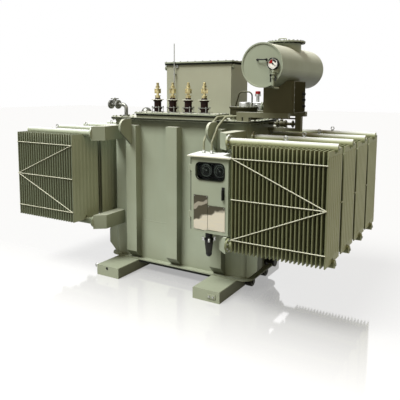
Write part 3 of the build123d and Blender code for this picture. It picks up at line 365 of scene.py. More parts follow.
# The brass's dark tarnish patches also stand in as painted dark reflections.
brass = worn_metal("turned_brass", BRASS, BRASS_TARNISH_AND_REFLECTION, 34, 0.2, 0.42)
steel = worn_metal("zinc_plated_steel", STEEL, STEEL_DARK, 9, 0.28, 0.5)
tarnished_steel = worn_metal("tarnished_steel", TARNISHED, TARNISHED_DARK, 30, 0.3, 0.5)
stainless = brushed_stainless()
aluminium = worn_metal("cast_aluminium", CAST_ALUMINIUM, STEEL, 6, 0.38, 0.6)
rubber = moulded_plastic("black_rubber", RUBBER, 0.7, 0.0)
black_plastic = moulded_plastic("black_nylon", BLACK_PLASTIC, 0.42)
red_enamel = moulded_plastic("red_enamel", RED_ENAMEL, 0.3)
dial_white = moulded_plastic("dial_enamel", DIAL_WHITE, 0.35)
glass = window_glass()
drying_grains = moulded_plastic("drying_grains", DRYING_GRAINS, 0.2)

SLOT_FINISH = {
    "paint": paint,
    "porcelain": porcelain,
    "brass": brass,
    "glass": glass,
    "gauge": black_plastic,
    "black_plastic": black_plastic,
    "breather": black_plastic,
    "galvanised": steel,
    "aluminium": aluminium,
    "red_plastic": red_enamel,
    "black_iron": black_iron,
}
NODE_FINISH = {
    "bracing": bracing_paint,
    "pedestal": dark_painted_shade,
    "support_beams": beam_painted_shade,
    "tap_changer_head": head_painted_shade,
    "tank_wall": wall_paint,
    "tank_rim": rim_painted_shade,
    "cover": rim_painted_shade,
    "bushing_turret": turret_painted_shade,
    "cable_box": warm_paint,
    "filter_valve": tarnished_steel,
    "relief_dome": tarnished_steel,
    "drain_valve": black_iron,
    "conduits": conduit_paint,
    # The cabinet roof's pale paint is a painted highlight of the overhead light.
    "cabinet_roof": pale_paint,
}
# The slot of a piece, by its finish; every other finish is a paint.
PIECE_SLOT = {
    steel: "galvanised",
    tarnished_steel: "galvanised",
    stainless: "galvanised",
    brass: "brass",
    aluminium: "aluminium",
    rubber: "black_plastic",
    black_plastic: "black_plastic",
    red_enamel: "gauge",
    dial_white: "gauge",
    drying_grains: "breather",
}


def finish_cad_nodes():
    """Gives each CAD node the finish of its slot in the record, or its own."""
    slots = {part["node"]: part["material_slot"] for part in frame["record"]["subparts"]}
    for name, body in frame["nodes"].items():
        finish = NODE_FINISH.get(name, SLOT_FINISH[slots[name]])
        if name.startswith("radiator_"):
            finish = left_radiator_painted_light if name.startswith("radiator_left") else radiator_paint
        body.data.materials.clear()
        body.data.materials.append(finish)


def box(name):
    """The low and the high corner of a node's box, in millimetres."""
    return [[value / MM for value in corner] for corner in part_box(name)]


def middle(name):
    """The middle of a node's box, in millimetres."""
    return [(low + high) / 2 for low, high in zip(*box(name))]


def mesh_of(name, build):
    """A mesh from a function that fills a bmesh in millimetres, with its normals turned outwards."""
    bm = bmesh.new()
    build(bm)
    bmesh.ops.scale(bm, vec=(MM, MM, MM), verts=bm.verts[:])
    bmesh.ops.recalc_face_normals(bm, faces=bm.faces[:])
    mesh = bpy.data.meshes.new(name)
    bm.to_mesh(mesh)
    bm.free()
    return mesh


def linked(name, data):
    """A new object in the scene."""
    made = bpy.data.objects.new(name, data)
    bpy.context.scene.collection.objects.link(made)
    return made


def piece(name, shape, finish, slot=None, body=TRANSFORMER, sharp_deg=38):
    """Links a mesh, or what a function builds, as a piece that rides on a body; its edges stay crisp over an
    angle. The slot argument is not used."""
    mesh = shape if isinstance(shape, bpy.types.Mesh) else mesh_of(name, shape)
    mesh.materials.clear()
    mesh.materials.append(finish)
    mesh.polygons.foreach_set("use_smooth", [True] * len(mesh.polygons))
    mesh.set_sharp_from_angle(angle=radians(sharp_deg))
    slot = slot or PIECE_SLOT.get(finish, "paint")
    made = linked(name, mesh)
    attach(made, body)
    return made


def at_each(places, make):
    """A build function that makes a shape at each of some places."""
    def build(bm):
        for place in places:
            make(bm, place)
    return build


def upright(x, y, z):
    """A local frame at a point with its Z axis up."""
    return Matrix.Translation((x, y, z))


def facing_front(x, y, z):
    """A local frame at a point with its Z axis towards the front and its Y axis up."""
    return upright(x, y, z) @ Matrix.Rotation(pi / 2, 4, "X")


def facing_side(x, y, z, sign=1):
    """A local frame at a point with its Z axis towards +X, or towards -X with sign -1."""
    return upright(x, y, z) @ Matrix.Rotation(sign * pi / 2, 4, "Y")


def turns(steps):
    """Evenly spaced angles round a circle."""
    return [2 * pi * i / steps for i in range(steps)]


def band(bm, loops, closed):
    """Faces between neighbouring loops of vertices, each a ring; ends are capped unless it closes."""
    for here, there in zip(loops, loops[1:] + loops[:1] if closed else loops[1:]):
        for k in range(len(here)):
            m = (k + 1) % len(here)
            bm.faces.new((here[k], here[m], there[m], there[k]))
    if not closed:
        bm.faces.new(loops[0])
        bm.faces.new(loops[-1])


def turned(bm, profile, place, steps=32):
    """A shape turned about the local Z axis from (radius, height) points, closed where they reach it."""
    rings = []
    for radius, height in profile:
        angles = turns(steps) if radius else [0.0]
        rings.append([bm.verts.new(place @ Vector((radius * cos(a), radius * sin(a), height)))
                      for a in angles])
    for low, high in zip(rings, rings[1:]):
        for i in range(steps):
            j = (i + 1) % steps
            corners = [low[i % len(low)], low[j % len(low)], high[j % len(high)], high[i % len(high)]]
            bm.faces.new(list(dict.fromkeys(corners)))


def disc(radius, low, high):
    """The profile of a plain round disc between two heights."""
    return [(0, low), (radius, low), (radius, high), (0, high)]


def turnings(name, profile, places, steps, finish, slot=None):
    """A piece of like turned shapes, one at each place."""
    piece(name, at_each(places, lambda bm, place: turned(bm, profile, place, steps)), finish, slot)


def swept(bm, corners, angles, place, closed):
    """A (radius, height) outline carried round the local Z axis through angles."""
    loops = [[bm.verts.new(place @ Vector((r * cos(a), r * sin(a), h))) for r, h in corners]
             for a in angles]
    band(bm, loops, closed)


def ring(bm, inner, outer, low, high, edge, place, steps=48):
    """A flat ring with eased edges."""
    corners = [(inner, low), (outer - edge, low), (outer, low + edge), (outer, high - edge),
               (outer - edge, high), (inner, high)]
    swept(bm, corners, turns(steps), place, True)


def sector(bm, inner, outer, start_deg, end_deg, low, high, place, steps=24):
    """A flat piece of a ring between two angles."""
    angles = [radians(start_deg + (end_deg - start_deg) * i / steps) for i in range(steps + 1)]
    swept(bm, ((inner, low), (outer, low), (outer, high), (inner, high)), angles, place, False)


def slab(bm, low, high, edge, place=Matrix.Identity(4)):
    """A box between two corners with rounded edges."""
    low, high = Vector(low), Vector(high)
    size = Matrix.Diagonal((*(high - low), 1.0))
    made = bmesh.ops.create_cube(bm, size=1.0, matrix=place @ Matrix.Translation((low + high) / 2) @ size)
    edges = list(dict.fromkeys(e for v in made["verts"] for e in v.link_edges))
    bmesh.ops.bevel(bm, geom=edges, offset=edge, segments=2, profile=0.5, affect="EDGES")


def bar_frame(bm, low, high, width, across, edge):
    """Four bars that frame a box: two whole ones along X, apart on the axis across, and two between."""
    for axis, inset in ((across, 0), (0, width)):
        for start in (low[axis], high[axis] - width):
            one, other = list(low), list(high)
            one[across] += inset
            other[across] -= inset
            one[axis], other[axis] = start, start + width
            slab(bm, one, other, edge)


def rod(bm, points, radius, steps=12, closed=False):
    """A round rod along points, with flat ends unless it closes on itself."""
    points = [Vector(p) for p in points]
    count = len(points)
    side = None
    loops = []
    for i, point in enumerate(points):
        before = points[(i - 1) % count] if closed or i > 0 else point
        after = points[(i + 1) % count] if closed or i < count - 1 else point
        along = (after - before).normalized()
        if side is None:
            side = along.orthogonal().normalized()
        side = (side - along * side.dot(along)).normalized()
        across = along.cross(side)
        loops.append([bm.verts.new(point + radius * (cos(a) * side + sin(a) * across))
                      for a in turns(steps)])
    band(bm, loops, closed)


def hoop(bm, place, radius, thick, sides=8, steps=20):
    """A round rod bent to a circle in the XY plane of a local frame."""
    loop = [place @ Vector((radius * cos(a), radius * sin(a), 0)) for a in turns(steps)]
    rod(bm, loop, thick, sides, True)


def round_path(half_x, half_y, corner, spacing):
    """Evenly spaced points round a rectangle with rounded corners, on the XY plane."""
    x, y, bend = half_x - corner, half_y - corner, corner * pi / 2
    starts = (((-x, -y), (1, 0), 2 * x), ((x, -y), (0, 1), 2 * y), ((x, y), (-1, 0), 2 * x),
              ((-x, y), (0, -1), 2 * y))
    quarters = [(Vector(pivot), Vector(along), straight) for pivot, along, straight in starts]
    total = 4 * (x + y + bend)
    count = round(total / spacing)
    points = []
    for i in range(count):
        left = total * i / count
        for pivot, along, straight in quarters:
            if left <= straight + bend:
                break
            left -= straight + bend
        outward = Vector((along.y, -along.x))
        angle = max(left - straight, 0) / corner
        arm = outward * cos(angle) + along * sin(angle)
        points.append(pivot + along * min(left, straight) + corner * arm)
    return points


def edge_path(name, inset, corner, spacing):
    """Points round a node's box, seen from above, at an inset from its edge."""
    low, high = box(name)
    x, y, _ = middle(name)
    path = round_path((high[0] - low[0]) / 2 - inset, (high[1] - low[1]) / 2 - inset, corner, spacing)
    return [(x + point.x, y + point.y) for point in path]


def circle_spots(place, radius, count, start_deg=0.0):
    """Bolt spots on a circle in a local frame: (point, axis) pairs."""
    axis = place.to_3x3() @ UP
    angles = [radians(start_deg) + a for a in turns(count)]
    return [(place @ Vector((radius * cos(a), radius * sin(a), 0)), axis) for a in angles]


def copies_tree(name, sizes, shape):
    """Geometry nodes that set a shape on every point, along the point's axis, in its finish."""
    tree = bpy.data.node_groups.new(name, "GeometryNodeTree")
    ends = [("Geometry", "INPUT", "Geometry"), *((size, "INPUT", "Float") for size in sizes),
            ("Finish", "INPUT", "Material"), ("Geometry", "OUTPUT", "Geometry")]
    for end, way, kind in ends:
        tree.interface.new_socket(end, in_out=way, socket_type=f"NodeSocket{kind}")
    add = partial(node, tree)
    given = add("NodeGroupInput").outputs
    axis = add("GeometryNodeInputNamedAttribute", {"data_type": "FLOAT_VECTOR", "Name": "axis"})
    turn = add("FunctionNodeAlignRotationToVector", {"axis": "Z", "Vector": axis.outputs["Attribute"]})
    set_out = add("GeometryNodeInstanceOnPoints", {"Points": given["Geometry"], "Instance": shape(add, given),
                                                   "Rotation": turn})
    real = add("GeometryNodeRealizeInstances", {"Geometry": set_out})
    coat = add("GeometryNodeSetMaterial", {"Geometry": real, "Material": given["Finish"]})
    add("NodeGroupOutput", {"Geometry": coat})
    return tree


def hexagon_bolt(add, given):
    """A hexagon head on its washer."""
    bolt = add("GeometryNodeJoinGeometry")
    half_head = add("Math", {"operation": "MULTIPLY_ADD", 0: given["Head Height"], 1: 0.5,
                             2: given["Washer Height"]})
    half_washer = add("Math", {"operation": "MULTIPLY", 0: given["Washer Height"], 1: 0.5})
    for name, sides, rise in (("Head", 6, half_head), ("Washer", 14, half_washer)):
        body = add("GeometryNodeMeshCylinder", {"Vertices": sides, "Radius": given[f"{name} Radius"],
                                                "Depth": given[f"{name} Height"]})
        shift = add("CombineXYZ", {"Z": rise})
        give(bolt, {"Geometry": add("GeometryNodeTransform", {"Geometry": body, "Translation": shift})})
    return bolt


def pressed_flute(add, given):
    """An upright pressed flute, half sunk in the sheet."""
    bar = add("GeometryNodeMeshCylinder", {"Vertices": 20, "Radius": 1.0, "Depth": given["Length"]})
    flat = add("CombineXYZ", {"X": given["Rise"], "Y": given["Half Width"], "Z": 1.0})
    return add("GeometryNodeTransform", {"Geometry": bar, "Scale": flat})


HEXAGON_BOLTS = copies_tree("hexagon_bolts", ("Head Radius", "Head Height", "Washer Radius", "Washer Height"),
                            hexagon_bolt)
PRESSED_FLUTES = copies_tree("pressed_flutes", ("Rise", "Half Width", "Length"), pressed_flute)


def strewn(name, spots, tree, sizes, finish):
    """The mesh of a tree's copies on (point, axis) spots; spots and sizes are in millimetres."""
    points = bpy.data.meshes.new(name)
    points.from_pydata([[value * MM for value in point] for point, axis in spots], [], [])
    attribute = points.attributes.new("axis", "FLOAT_VECTOR", "POINT")
    attribute.data.foreach_set("vector", [value for point, axis in spots for value in axis])
    holder = linked(name, points)
    modifier = holder.modifiers.new("copies", "NODES")
    modifier.node_group = tree
    given = {size: value * MM for size, value in sizes.items()} | {"Finish": finish}
    for item in tree.interface.items_tree:
        if item.in_out == "INPUT" and item.name in given:
            modifier[item.identifier] = given[item.name]
    mesh = bpy.data.meshes.new_from_object(holder.evaluated_get(bpy.context.evaluated_depsgraph_get()))
    bpy.data.objects.remove(holder)
    bpy.data.meshes.remove(points)
    return mesh


def bolts(name, spots, flats, finish=steel, body=TRANSFORMER):
    """Bolts on (point, axis) spots; head and washer follow the size across flats."""
    sizes = {"Head Radius": flats / sqrt(3), "Head Height": 0.45 * flats,
             "Washer Radius": 0.68 * flats, "Washer Height": 0.12 * flats}
    piece(name, strewn(name, spots, HEXAGON_BOLTS, sizes, finish), finish, body=body)


# The panels that end each radiator, by distance from the middle of the tank, and the header pipes' levels.
PANEL_ENDS = (1176, 2223)
HEADER_LEVELS = (707, 1907)
HEADER_TOP = 1952
EYE_X = 1690


def panel_flutes():
    """Pressed flutes on the outer faces of the end panels of every radiator."""
    flute = {"Rise": 4, "Half Width": 24, "Length": 1040}
    pitch = 68
    for (side, sign), finish in zip(SIDES, (radiator_paint, left_radiator_painted_light)):
        name = f"panel_flutes_{side}"
        spots = []
        for row in ROWS:
            _, y, z = middle(f"radiator_{side}_{row}")
            spots += [((sign * x, y + k * pitch, z), UP) for x in PANEL_ENDS for k in range(-3, 4)]
        piece(name, strewn(name, spots, PRESSED_FLUTES, flute, finish), finish, sharp_deg=60)


def cover_fasteners():
    """Bolts round the cover, where nothing stands on it, and nuts under the rim."""
    under = box("tank_rim")[0][2]
    top = box("cover")[1][2]
    path = edge_path("tank_rim", inset=28, corner=112, spacing=96)
    clear = 24
    low, high = box("bushing_plate")
    plate = (low[0] - clear, high[0] + clear, low[1] - clear, high[1] + clear)
    beam_seats = ((870, 1200, -450, -350), (870, 1200, 140, 240))
    free = [(x, y) for x, y in path
            if not any(x0 < x < x1 and y0 < y < y1 for x0, x1, y0, y1 in (plate, *beam_seats))]
    bolts("cover_bolts", [((x, y, top), UP) for x, y in free], 24, paint)
    bolts("rim_nuts", [((x, y, under), DOWN) for x, y in path], 24, rim_painted_shade)


def plate_fasteners():
    """Bolts round the bushing plate and the cable box lid, and nuts under the lid."""
    for name, spacing in (("bushing_plate", 88), ("cable_box_lid", 118)):
        low, high = box(name)
        path = edge_path(name, inset=14, corner=4, spacing=spacing)
        bolts(f"{name}_bolts", [((x, y, high[2]), UP) for x, y in path], 16)
    bolts("cable_box_lid_nuts", [((x, y, low[2]), DOWN) for x, y in path], 16)


MANHOLE_PLATE = 16


def seals():
    """Dark seals that show as thin lines between the rim and the cover, under the bushing plate and under the
    manhole's plate; they are made thick enough to stand in for the shade in those joints as well."""
    joint = box("cover")[0][2]
    under = box("bushing_plate")[0][2] - 10
    lid_x, lid_y, _ = middle("conservator_manhole")
    lid_under = box("conservator_manhole")[1][2] - MANHOLE_PLATE

    def build(bm):
        rim = edge_path("cover", inset=-1.5, corner=141, spacing=30)
        rod(bm, [(x, y, joint) for x, y in rim], 6, 8, True)
        turret = edge_path("bushing_turret", inset=-6, corner=12, spacing=30)
        rod(bm, [(x, y, under) for x, y in turret], 10, 8, True)
        ring(bm, 181, 226, -10, 0, 2, upright(lid_x, lid_y, lid_under))

    piece("cover_seals", build, rubber)


BUSHING_XS = (-364.5, -121.5, 121.5, 364.5)
BUSHING_Y = -300


def bushing_clamps():
    """Two clamping rings on each bushing, with ears, studs and nuts, and a flat ring at its foot."""
    foot = box("bushing_insulators")[0][2]
    places = [upright(x, BUSHING_Y, foot) for x in BUSHING_XS]
    head_level, foot_level, thick = 164.5, 63.5, 9
    stud_circle = 74
    stud_spots = [spot for place in places for spot, axis in circle_spots(place, stud_circle, 4, 45)]

    def clamp(bm, place, level):
        ring(bm, 49, 66, level, level + thick, 2, place)
        for k in range(4):
            ear = place @ Matrix.Rotation(pi / 4 + pi / 2 * k, 4, "Z")
            slab(bm, (62, -9, level), (82, 9, level + thick), 2, ear)

    def foot_clamp(bm, place):
        clamp(bm, place, foot_level)
        ring(bm, 49, 72, 0.2, 10, 2, place)

    piece("bushing_clamps", at_each(places, lambda bm, place: clamp(bm, place, head_level)), pale_paint)
    piece("bushing_foot_clamps", at_each(places, foot_clamp), tarnished_steel)
    piece("bushing_studs", at_each(stud_spots, lambda bm, spot: rod(bm, [spot, spot + 84 * UP], 4.5)), steel)
    bolts("bushing_stud_nuts", [(spot + (foot_level + thick) * UP, UP) for spot in stud_spots], 14)


def terminal_fittings():
    """Set screws on the clamp blocks and washers on the stems of the brass terminals."""
    foot = box("bushing_terminals")[0][2]
    spots = [((x + dx, BUSHING_Y - 23, foot + dz), FRONT)
             for x in BUSHING_XS for dx in (-20, 20) for dz in (74, 104)]
    bolts("terminal_screws", spots, 15, brass)

    def washers(bm, x):
        place = upright(x, BUSHING_Y, foot)
        ring(bm, 18.3, 42, 26, 32, 1.5, place)
        ring(bm, 18.3, 33, 130, 136, 1.5, place)
        for level in range(164, 193, 7):
            ring(bm, 17.5, 19.4, level, level + 3, 0.6, place, 24)

    piece("terminal_washers", at_each(BUSHING_XS, washers), brass)


def dial_marks(bm, radius, count, start_deg, end_deg, length, width, low, high, place):
    """Graduation marks along an arc."""
    for i in range(count):
        angle = radians(start_deg + (end_deg - start_deg) * i / (count - 1))
        turn = place @ Matrix.Rotation(angle, 4, "Z")
        slab(bm, (radius - length, -width / 2, low), (radius, width / 2, high), 0.2, turn)


def level_gauge():
    """Oil-level gauge on the conservator: bezel, white dial with a red low field, pointer, glass screws."""
    x, _, z = middle("oil_level_gauge")
    face = box("oil_level_gauge")[0][1]
    place = facing_front(x, face, z)
    ink = (3.05, 3.8)

    def pointer(bm):
        sector(bm, 26, 46, 20, 96, *ink, place)
        dial_marks(bm, 46, 11, 185, 355, 9, 2.4, *ink, place)
        turn = place @ Matrix.Rotation(radians(-38), 4, "Z")
        slab(bm, (-14, -2.6, 4.4), (40, 2.6, 6.2), 0.8, turn)
        turned(bm, [(0, 3.05), (9, 3.05), (9, 7), (6, 8.5), (0, 8.5)], place, 24)

    piece("gauge_bezel", lambda bm: ring(bm, 55, 65, -20, 9, 3, place), black_plastic, "gauge")
    turnings("gauge_dial", disc(54.6, 0.1, 3), [place], 32, dial_white)
    piece("gauge_low_field", lambda bm: sector(bm, 12, 46, 100, 175, *ink, place), red_enamel)
    piece("gauge_pointer", pointer, black_plastic, "gauge")
    bolts("gauge_screws", circle_spots(facing_front(x, face - 9, z), 58, 6, 30), 8)


def conservator_fittings():
    """Bar handle and shut-off cock with its pipe on the front of the conservator, and the bolts and grips
    of its manhole."""
    axis_x, _, axis_z = middle("conservator_end_front")
    face = box("conservator_end_front")[0][1] + 8

    def handle(bm):
        y, z = face - 30, axis_z + 58
        x0, x1 = axis_x - 53, axis_x + 53
        rod(bm, [(x0, face, z), (x0, y + 8, z), (x0 + 8, y, z), (x1 - 8, y, z), (x1, y + 8, z),
                 (x1, face, z)], 7)
        for x in (x0, x1):
            turned(bm, [(0, 0), (14, 0), (14, 4), (10, 6), (0, 6)], facing_front(x, face, z), 20)

    piece("conservator_handle", handle, black_plastic)
    x, y, z = axis_x + 150, face - 40, axis_z - 110

    def cock(bm):
        slab(bm, (x - 52, face - 14, z + 20), (x + 50, face, z + 62), 3)
        turned(bm, [(0, 0), (24, 0), (24, 12), (13, 16), (13, 40), (0, 40)],
               facing_front(x, face - 14, z + 41), 24)
        rod(bm, [(x, y, z + 50), (x, y, z - 118), (x, y + 14, z - 134), (x, y + 60, z - 140),
                 (x, y + 150, z - 141)], 12, 16)
        for level in (8, -30):
            turned(bm, disc(26, 0, 10), upright(x, y, z + level), 24)

    def lever(bm):
        slab(bm, (x - 30, y - 26, z - 18), (x - 20, y + 12, z + 6), 2)
        slab(bm, (x - 34, y - 8, z - 78), (x - 22, y + 8, z - 6), 3)
        slab(bm, (x + 20, y - 10, z - 70), (x + 32, y + 10, z - 10), 3)

    piece("conservator_cock", cock, paint)
    piece("conservator_cock_lever", lever, black_plastic)
    lid_x, lid_y, _ = middle("conservator_manhole")
    top = box("conservator_manhole")[1][2]
    spots = circle_spots(upright(lid_x, lid_y, top), 208, 24)
    bolts("manhole_bolts", spots, 19)
    bolts("manhole_nuts", [(point + MANHOLE_PLATE * DOWN, DOWN) for point, axis in spots], 19)
    bow = ((-50, 0), (-50, 22), (-42, 30), (42, 30), (50, 22), (50, 0))

    def grip(bm, y):
        rod(bm, [(lid_x + dx, y, top + dz) for dx, dz in bow], 6)

    piece("manhole_grips", at_each((lid_y - 120, lid_y + 120), grip), paint)


# The two bare plates on the door: left, right, low and high edge.
DOOR_PLATES = {"left": (564, 752, 849, 1259), "right": (757, 982, 857, 1148)}


def door_dress():
    """Bare steel plates, window seal and edge seal of the cabinet's door."""
    low, high = box("cabinet_door")
    front = low[1]
    face = front - 2.5
    for name, (x0, x1, z0, z1) in DOOR_PLATES.items():
        piece(f"door_plate_{name}", lambda bm: slab(bm, (x0, face, z0), (x1, front, z1), 0.8), stainless,
              body=DOOR)
        spots = [((x, face, z), FRONT) for x in (x0 + 12, x1 - 12) for z in (z0 + 12, z1 - 12)]
        bolts(f"door_plate_screws_{name}", spots, 7, body=DOOR)
    pane_low, pane_high = box("door_glass")
    x, _, z = middle("door_glass")
    path = round_path((pane_high[0] - pane_low[0]) / 2 + 2, (pane_high[2] - pane_low[2]) / 2 + 2, 57, 12)
    seal = [(x + point.x, front - 1, z + point.y) for point in path]
    piece("window_seal", lambda bm: rod(bm, seal, 7, 10, True), rubber, body=DOOR)
    inset, gap = 14, high[1]
    piece("door_seal", lambda bm: bar_frame(bm, (low[0] + inset, gap + 1, low[2] + inset),
                                            (high[0] - inset, gap + 5, high[2] - inset), 12, 2, 1), rubber)


def cabinet_dress():
    """A black instrument panel behind the glass, which also stands in for the shade inside the cabinet, with
    its two dials, and glands on the cabinet's roof.
    """
    low, high = box("thermometers")
    face = low[1]
    z = middle("thermometers")[2]
    dials = [facing_front(x, face, z) for x in (low[0] + 74, high[0] - 74)]
    sweep = (-40, 220)
    ink = (2.05, 2.6)

    def marks(bm, place):
        dial_marks(bm, 60, 25, *sweep, 9, 2, *ink, place)
        sector(bm, 44, 47, *sweep, *ink, place)

    def hands(bm):
        for place, angle in zip(dials, (160, 130)):
            turn = place @ Matrix.Rotation(radians(angle), 4, "Z")
            slab(bm, (-16, -2.2, 3.4), (52, 2.2, 5), 0.7, turn)
            turned(bm, [(0, 2), (8, 2), (8, 6), (0, 7)], place, 20)

    # A black panel behind the dials, which also stands in for the shade inside the cabinet.
    panel_low, panel_high = (540, face + 62, 1440), (1006, face + 66, 1690)
    piece("black_panel_painted_shade", lambda bm: slab(bm, panel_low, panel_high, 1), black_plastic)
    piece("thermometer_rims", at_each(dials, lambda bm, place: ring(bm, 66, 76, -8, 8, 2, place)), steel)
    turnings("thermometer_faces", disc(65.6, 0.1, 2), dials, 40, black_plastic, "gauge")
    piece("thermometer_marks", at_each(dials, marks), dial_white)
    piece("thermometer_hands", hands, dial_white)
    gland = [(13.4, 0), (27, 0), (27, 16), (21, 20), (21, 34), (13.4, 36)]
    conduit_xs, conduit_y, roof_top = (605, 715), -720, 1740
    places = [upright(x, conduit_y, roof_top) for x in conduit_xs]
    turnings("conduit_glands", gland, places, 6, aluminium)


def breather_dress():
    """The breather: a dark cap and oil cup, four bright cast ears with nuts, and a jar of drying grains."""
    x, y, _ = middle("breather")
    place = upright(x, y, box("breather")[1][2])
    cap_profile = [(0, 0), (22, 0), (22, -20), (34, -24), (44, -34), (44, -96), (58, -100), (58, -126),
                   (0, -128)]
    jar_profile = [(0, -128), (50, -128), (50, -160), (44, -220), (37, -270), (0, -270)]
    cup_profile = [(0, -270), (36, -270), (38, -278), (37, -292), (32, -306), (24, -318), (12, -324),
                   (0, -324)]
    nut_profile = [(0, 0), (11, 0), (11, 10), (7, 13), (0, 13)]

    def cap(bm):
        turned(bm, cap_profile, place)
        turned(bm, cup_profile, place)

    def collar(bm):
        for k in range(4):
            turn = place @ Matrix.Rotation(radians(30 + 90 * k), 4, "Z")
            ear = turn @ upright(58, 0, -112) @ Matrix.Rotation(0.5, 4, "Y")
            slab(bm, (-10, -12, -20), (12, 12, 38), 3, ear)
            turned(bm, nut_profile, ear @ facing_side(12, 0, 4), 6)

    head = piece("breather_cap", cap, black_plastic, "breather")
    piece("breather_collar", collar, aluminium)
    turnings("breather_jar", jar_profile, [place], 32, drying_grains)
    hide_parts("breather")


def skid_dress():
    """Earthing pad with two studs on the right skid, plugged hole and side eye on the left one, and a black
    strip under the floor plate that stands in for the shadow under the tank."""
    low = box("skids")[0]
    front = low[1]
    x0, x1, z0, z1 = 778, 890, 40, 98
    face = front - 7
    piece("earthing_pad", lambda bm: slab(bm, (x0, face, z0), (x1, front, z1), 2), paint)
    bolts("earthing_studs", [((x, face, (z0 + z1) / 2), FRONT) for x in (x0 + 30, x1 - 30)], 20)
    plug = [(0, 0), (17, 0), (17, 4), (12, 7), (0, 7)]
    plug_x, plug_z = -769, 108
    turnings("skid_plug", plug, [facing_front(plug_x, front, plug_z)], 24, black_plastic)
    piece("skid_side_eye", lambda bm: hoop(bm, facing_front(low[0] - 24, front + 26, 112), 24, 8, 10), steel)
    plate_low, plate_high = box("tank_floor")
    reach, deep, thick = 574, 30, 12

    def joint(bm, y):
        slab(bm, (-reach, y, plate_low[2] - deep), (reach, y + thick, plate_low[2]), 2)

    # A black strip under the floor plate that stands in for the shadow under the tank.
    piece("floor_shadow_strip", at_each((plate_low[1] + 1, plate_high[1] - 1 - thick), joint), rubber)


def pedestal_dress():
    """Flange bolts, cable glands and a bolted side cover on the pedestal under the conservator; the side
    cover's near-black paint is painted shade.
    """
    low, high = box("pedestal")
    flange_back = low[1] + 30
    levels = [low[2] + 40 + 84 * i for i in range(4)]
    spots = [((x, flange_back, z), BACK) for x in (high[0] - 8, low[0] + 8) for z in levels]
    bolts("pedestal_bolts", spots, 13)
    side = high[0] - 16
    gland = [(0, 0), (24, 0), (24, 10), (17, 14), (17, 30), (11, 36), (0, 36)]
    places = [facing_side(side, -92, z) for z in (2296, 2372, 2440)]
    turnings("pedestal_glands", gland, places, 6, black_plastic)
    face, edge_low, edge_high = side + 4, flange_back + 4, high[1] - 6
    # The side cover's dark paint is painted shade from the conservator.
    piece("pedestal_side_cover", lambda bm: slab(
        bm, (side, edge_low, low[2] + 6), (face, edge_high, high[2] - 6), 1), head_painted_shade)
    spots = [((face, y, z), RIGHT) for y in (edge_low + 14, edge_high - 14) for z in levels]
    bolts("pedestal_side_screws", spots, 11)


def bracket_pipework():
    """Flanged pipe with a shut-off valve, and a thin pipe above it, over the bracket under the rear beam."""
    wall = box("tank_wall")[1][0]
    y, z, reach = 190, 2062, 364
    flange = [(0, 0), (44, 0), (46, 2), (46, 10), (44, 12), (0, 12)]
    valve = [(0, 0), (24, 4), (38, 26), (38, 50), (24, 72), (0, 76)]
    bonnet = [(0, 0), (22, 0), (22, 52), (9, 56), (9, 84), (0, 84)]

    def pipe(bm):
        turned(bm, disc(19, 0, reach), facing_side(wall, y, z), 20)
        for start in (110, 124, 212, 226, 318):
            turned(bm, flange, facing_side(wall + start, y, z), 24)
        turned(bm, valve, facing_side(wall + 136, y, z), 24)
        turned(bm, bonnet, upright(wall + 174, y, z), 20)
        rod(bm, [(wall, y, z + 68), (wall + reach, y, z + 68)], 10)

    # The pipework's dark paint is painted shade.
    piece("bracket_pipe", pipe, dark_painted_shade)


def radiator_dress():
    """Lifting eyes on the top headers, bolts on the header flanges and plugs in the header ends."""
    eyes, flange_spots, plugs = [], [], []
    for row in ROWS:
        for side, sign in SIDES:
            name = f"radiator_{side}_{row}"
            inner, outer = sorted((corner[0] for corner in box(name)), key=abs)
            y = middle(name)[1]
            eyes.append((sign * EYE_X, y, HEADER_TOP))
            for z in HEADER_LEVELS:
                flange_spots += circle_spots(facing_side(inner + sign * 24, y, z, sign), 64, 8, 22.5)
                plugs.append(facing_side(outer, y, z, sign))
    eye_foot = [(0, -6), (20, -6), (20, 2), (9, 8), (0, 8)]
    plug = [(0, 0), (30, 0), (27, 3), (16, 3), (16, 12), (13, 14), (0, 14)]

    def eye(bm, spot):
        x, y, z = spot
        hoop(bm, facing_front(x, y, z + 30), 20, 6)
        turned(bm, eye_foot, upright(x, y, z), 16)

    piece("radiator_lifting_eyes", at_each(eyes, eye), steel)
    bolts("header_flange_bolts", flange_spots, 17)
    turnings("header_plugs", plug, plugs, 6, paint)


def cable_box_dress():
    """Rubber joint under the lid, lifting lugs, an eye and clips for the thin rod on the cable box."""
    low, high = box("cable_box")
    thick, deep = 20, 26
    piece("cable_box_joint", lambda bm: bar_frame(
        bm, (low[0] - thick, low[1] - thick, high[2] - deep), (high[0] + thick, high[1] + thick, high[2]),
        thick, 1, 2), rubber)
    lug = [(0, 0), (26, 0), (26, 20), (34, 22), (34, 30), (0, 32)]
    places = [facing_side(x, y, high[2] - 62, sign) for x, sign in ((low[0], -1), (high[0], 1))
              for y in (low[1] + 30, high[1] - 30)]
    turnings("cable_box_lugs", lug, places, 24, paint)

    def eye(bm):
        x, y, z = -339, low[1], high[2] - 40
        slab(bm, (x - 22, y - 8, z - 22), (x + 22, y, z + 14), 2)
        hoop(bm, facing_front(x, y - 14, z - 4), 17, 5)

    piece("cable_box_eye", eye, steel)
    rod_x, rod_y = -366, 105

    def clip(bm, z):
        slab(bm, (rod_x - 12, rod_y - 10, z), (rod_x + 12, low[1], z + 16), 2)

    piece("rod_clips", at_each((2300, 2700), clip), steel)


# The stiffeners on the long walls: their middles, half their width and the ends of their side welds; then
# the bare wall between them, and the seam across one stretch of it.
STIFFENER_XS = (-660, 0, 660)
STIFFENER_HALF = 84
STIFFENER_WELD = (170, 2008)
WALL_FIELDS = ((-966, -748), (-572, -88), (88, 572), (748, 966))
PLATE_SEAM = 696
SEAM_SUNK = 2.5


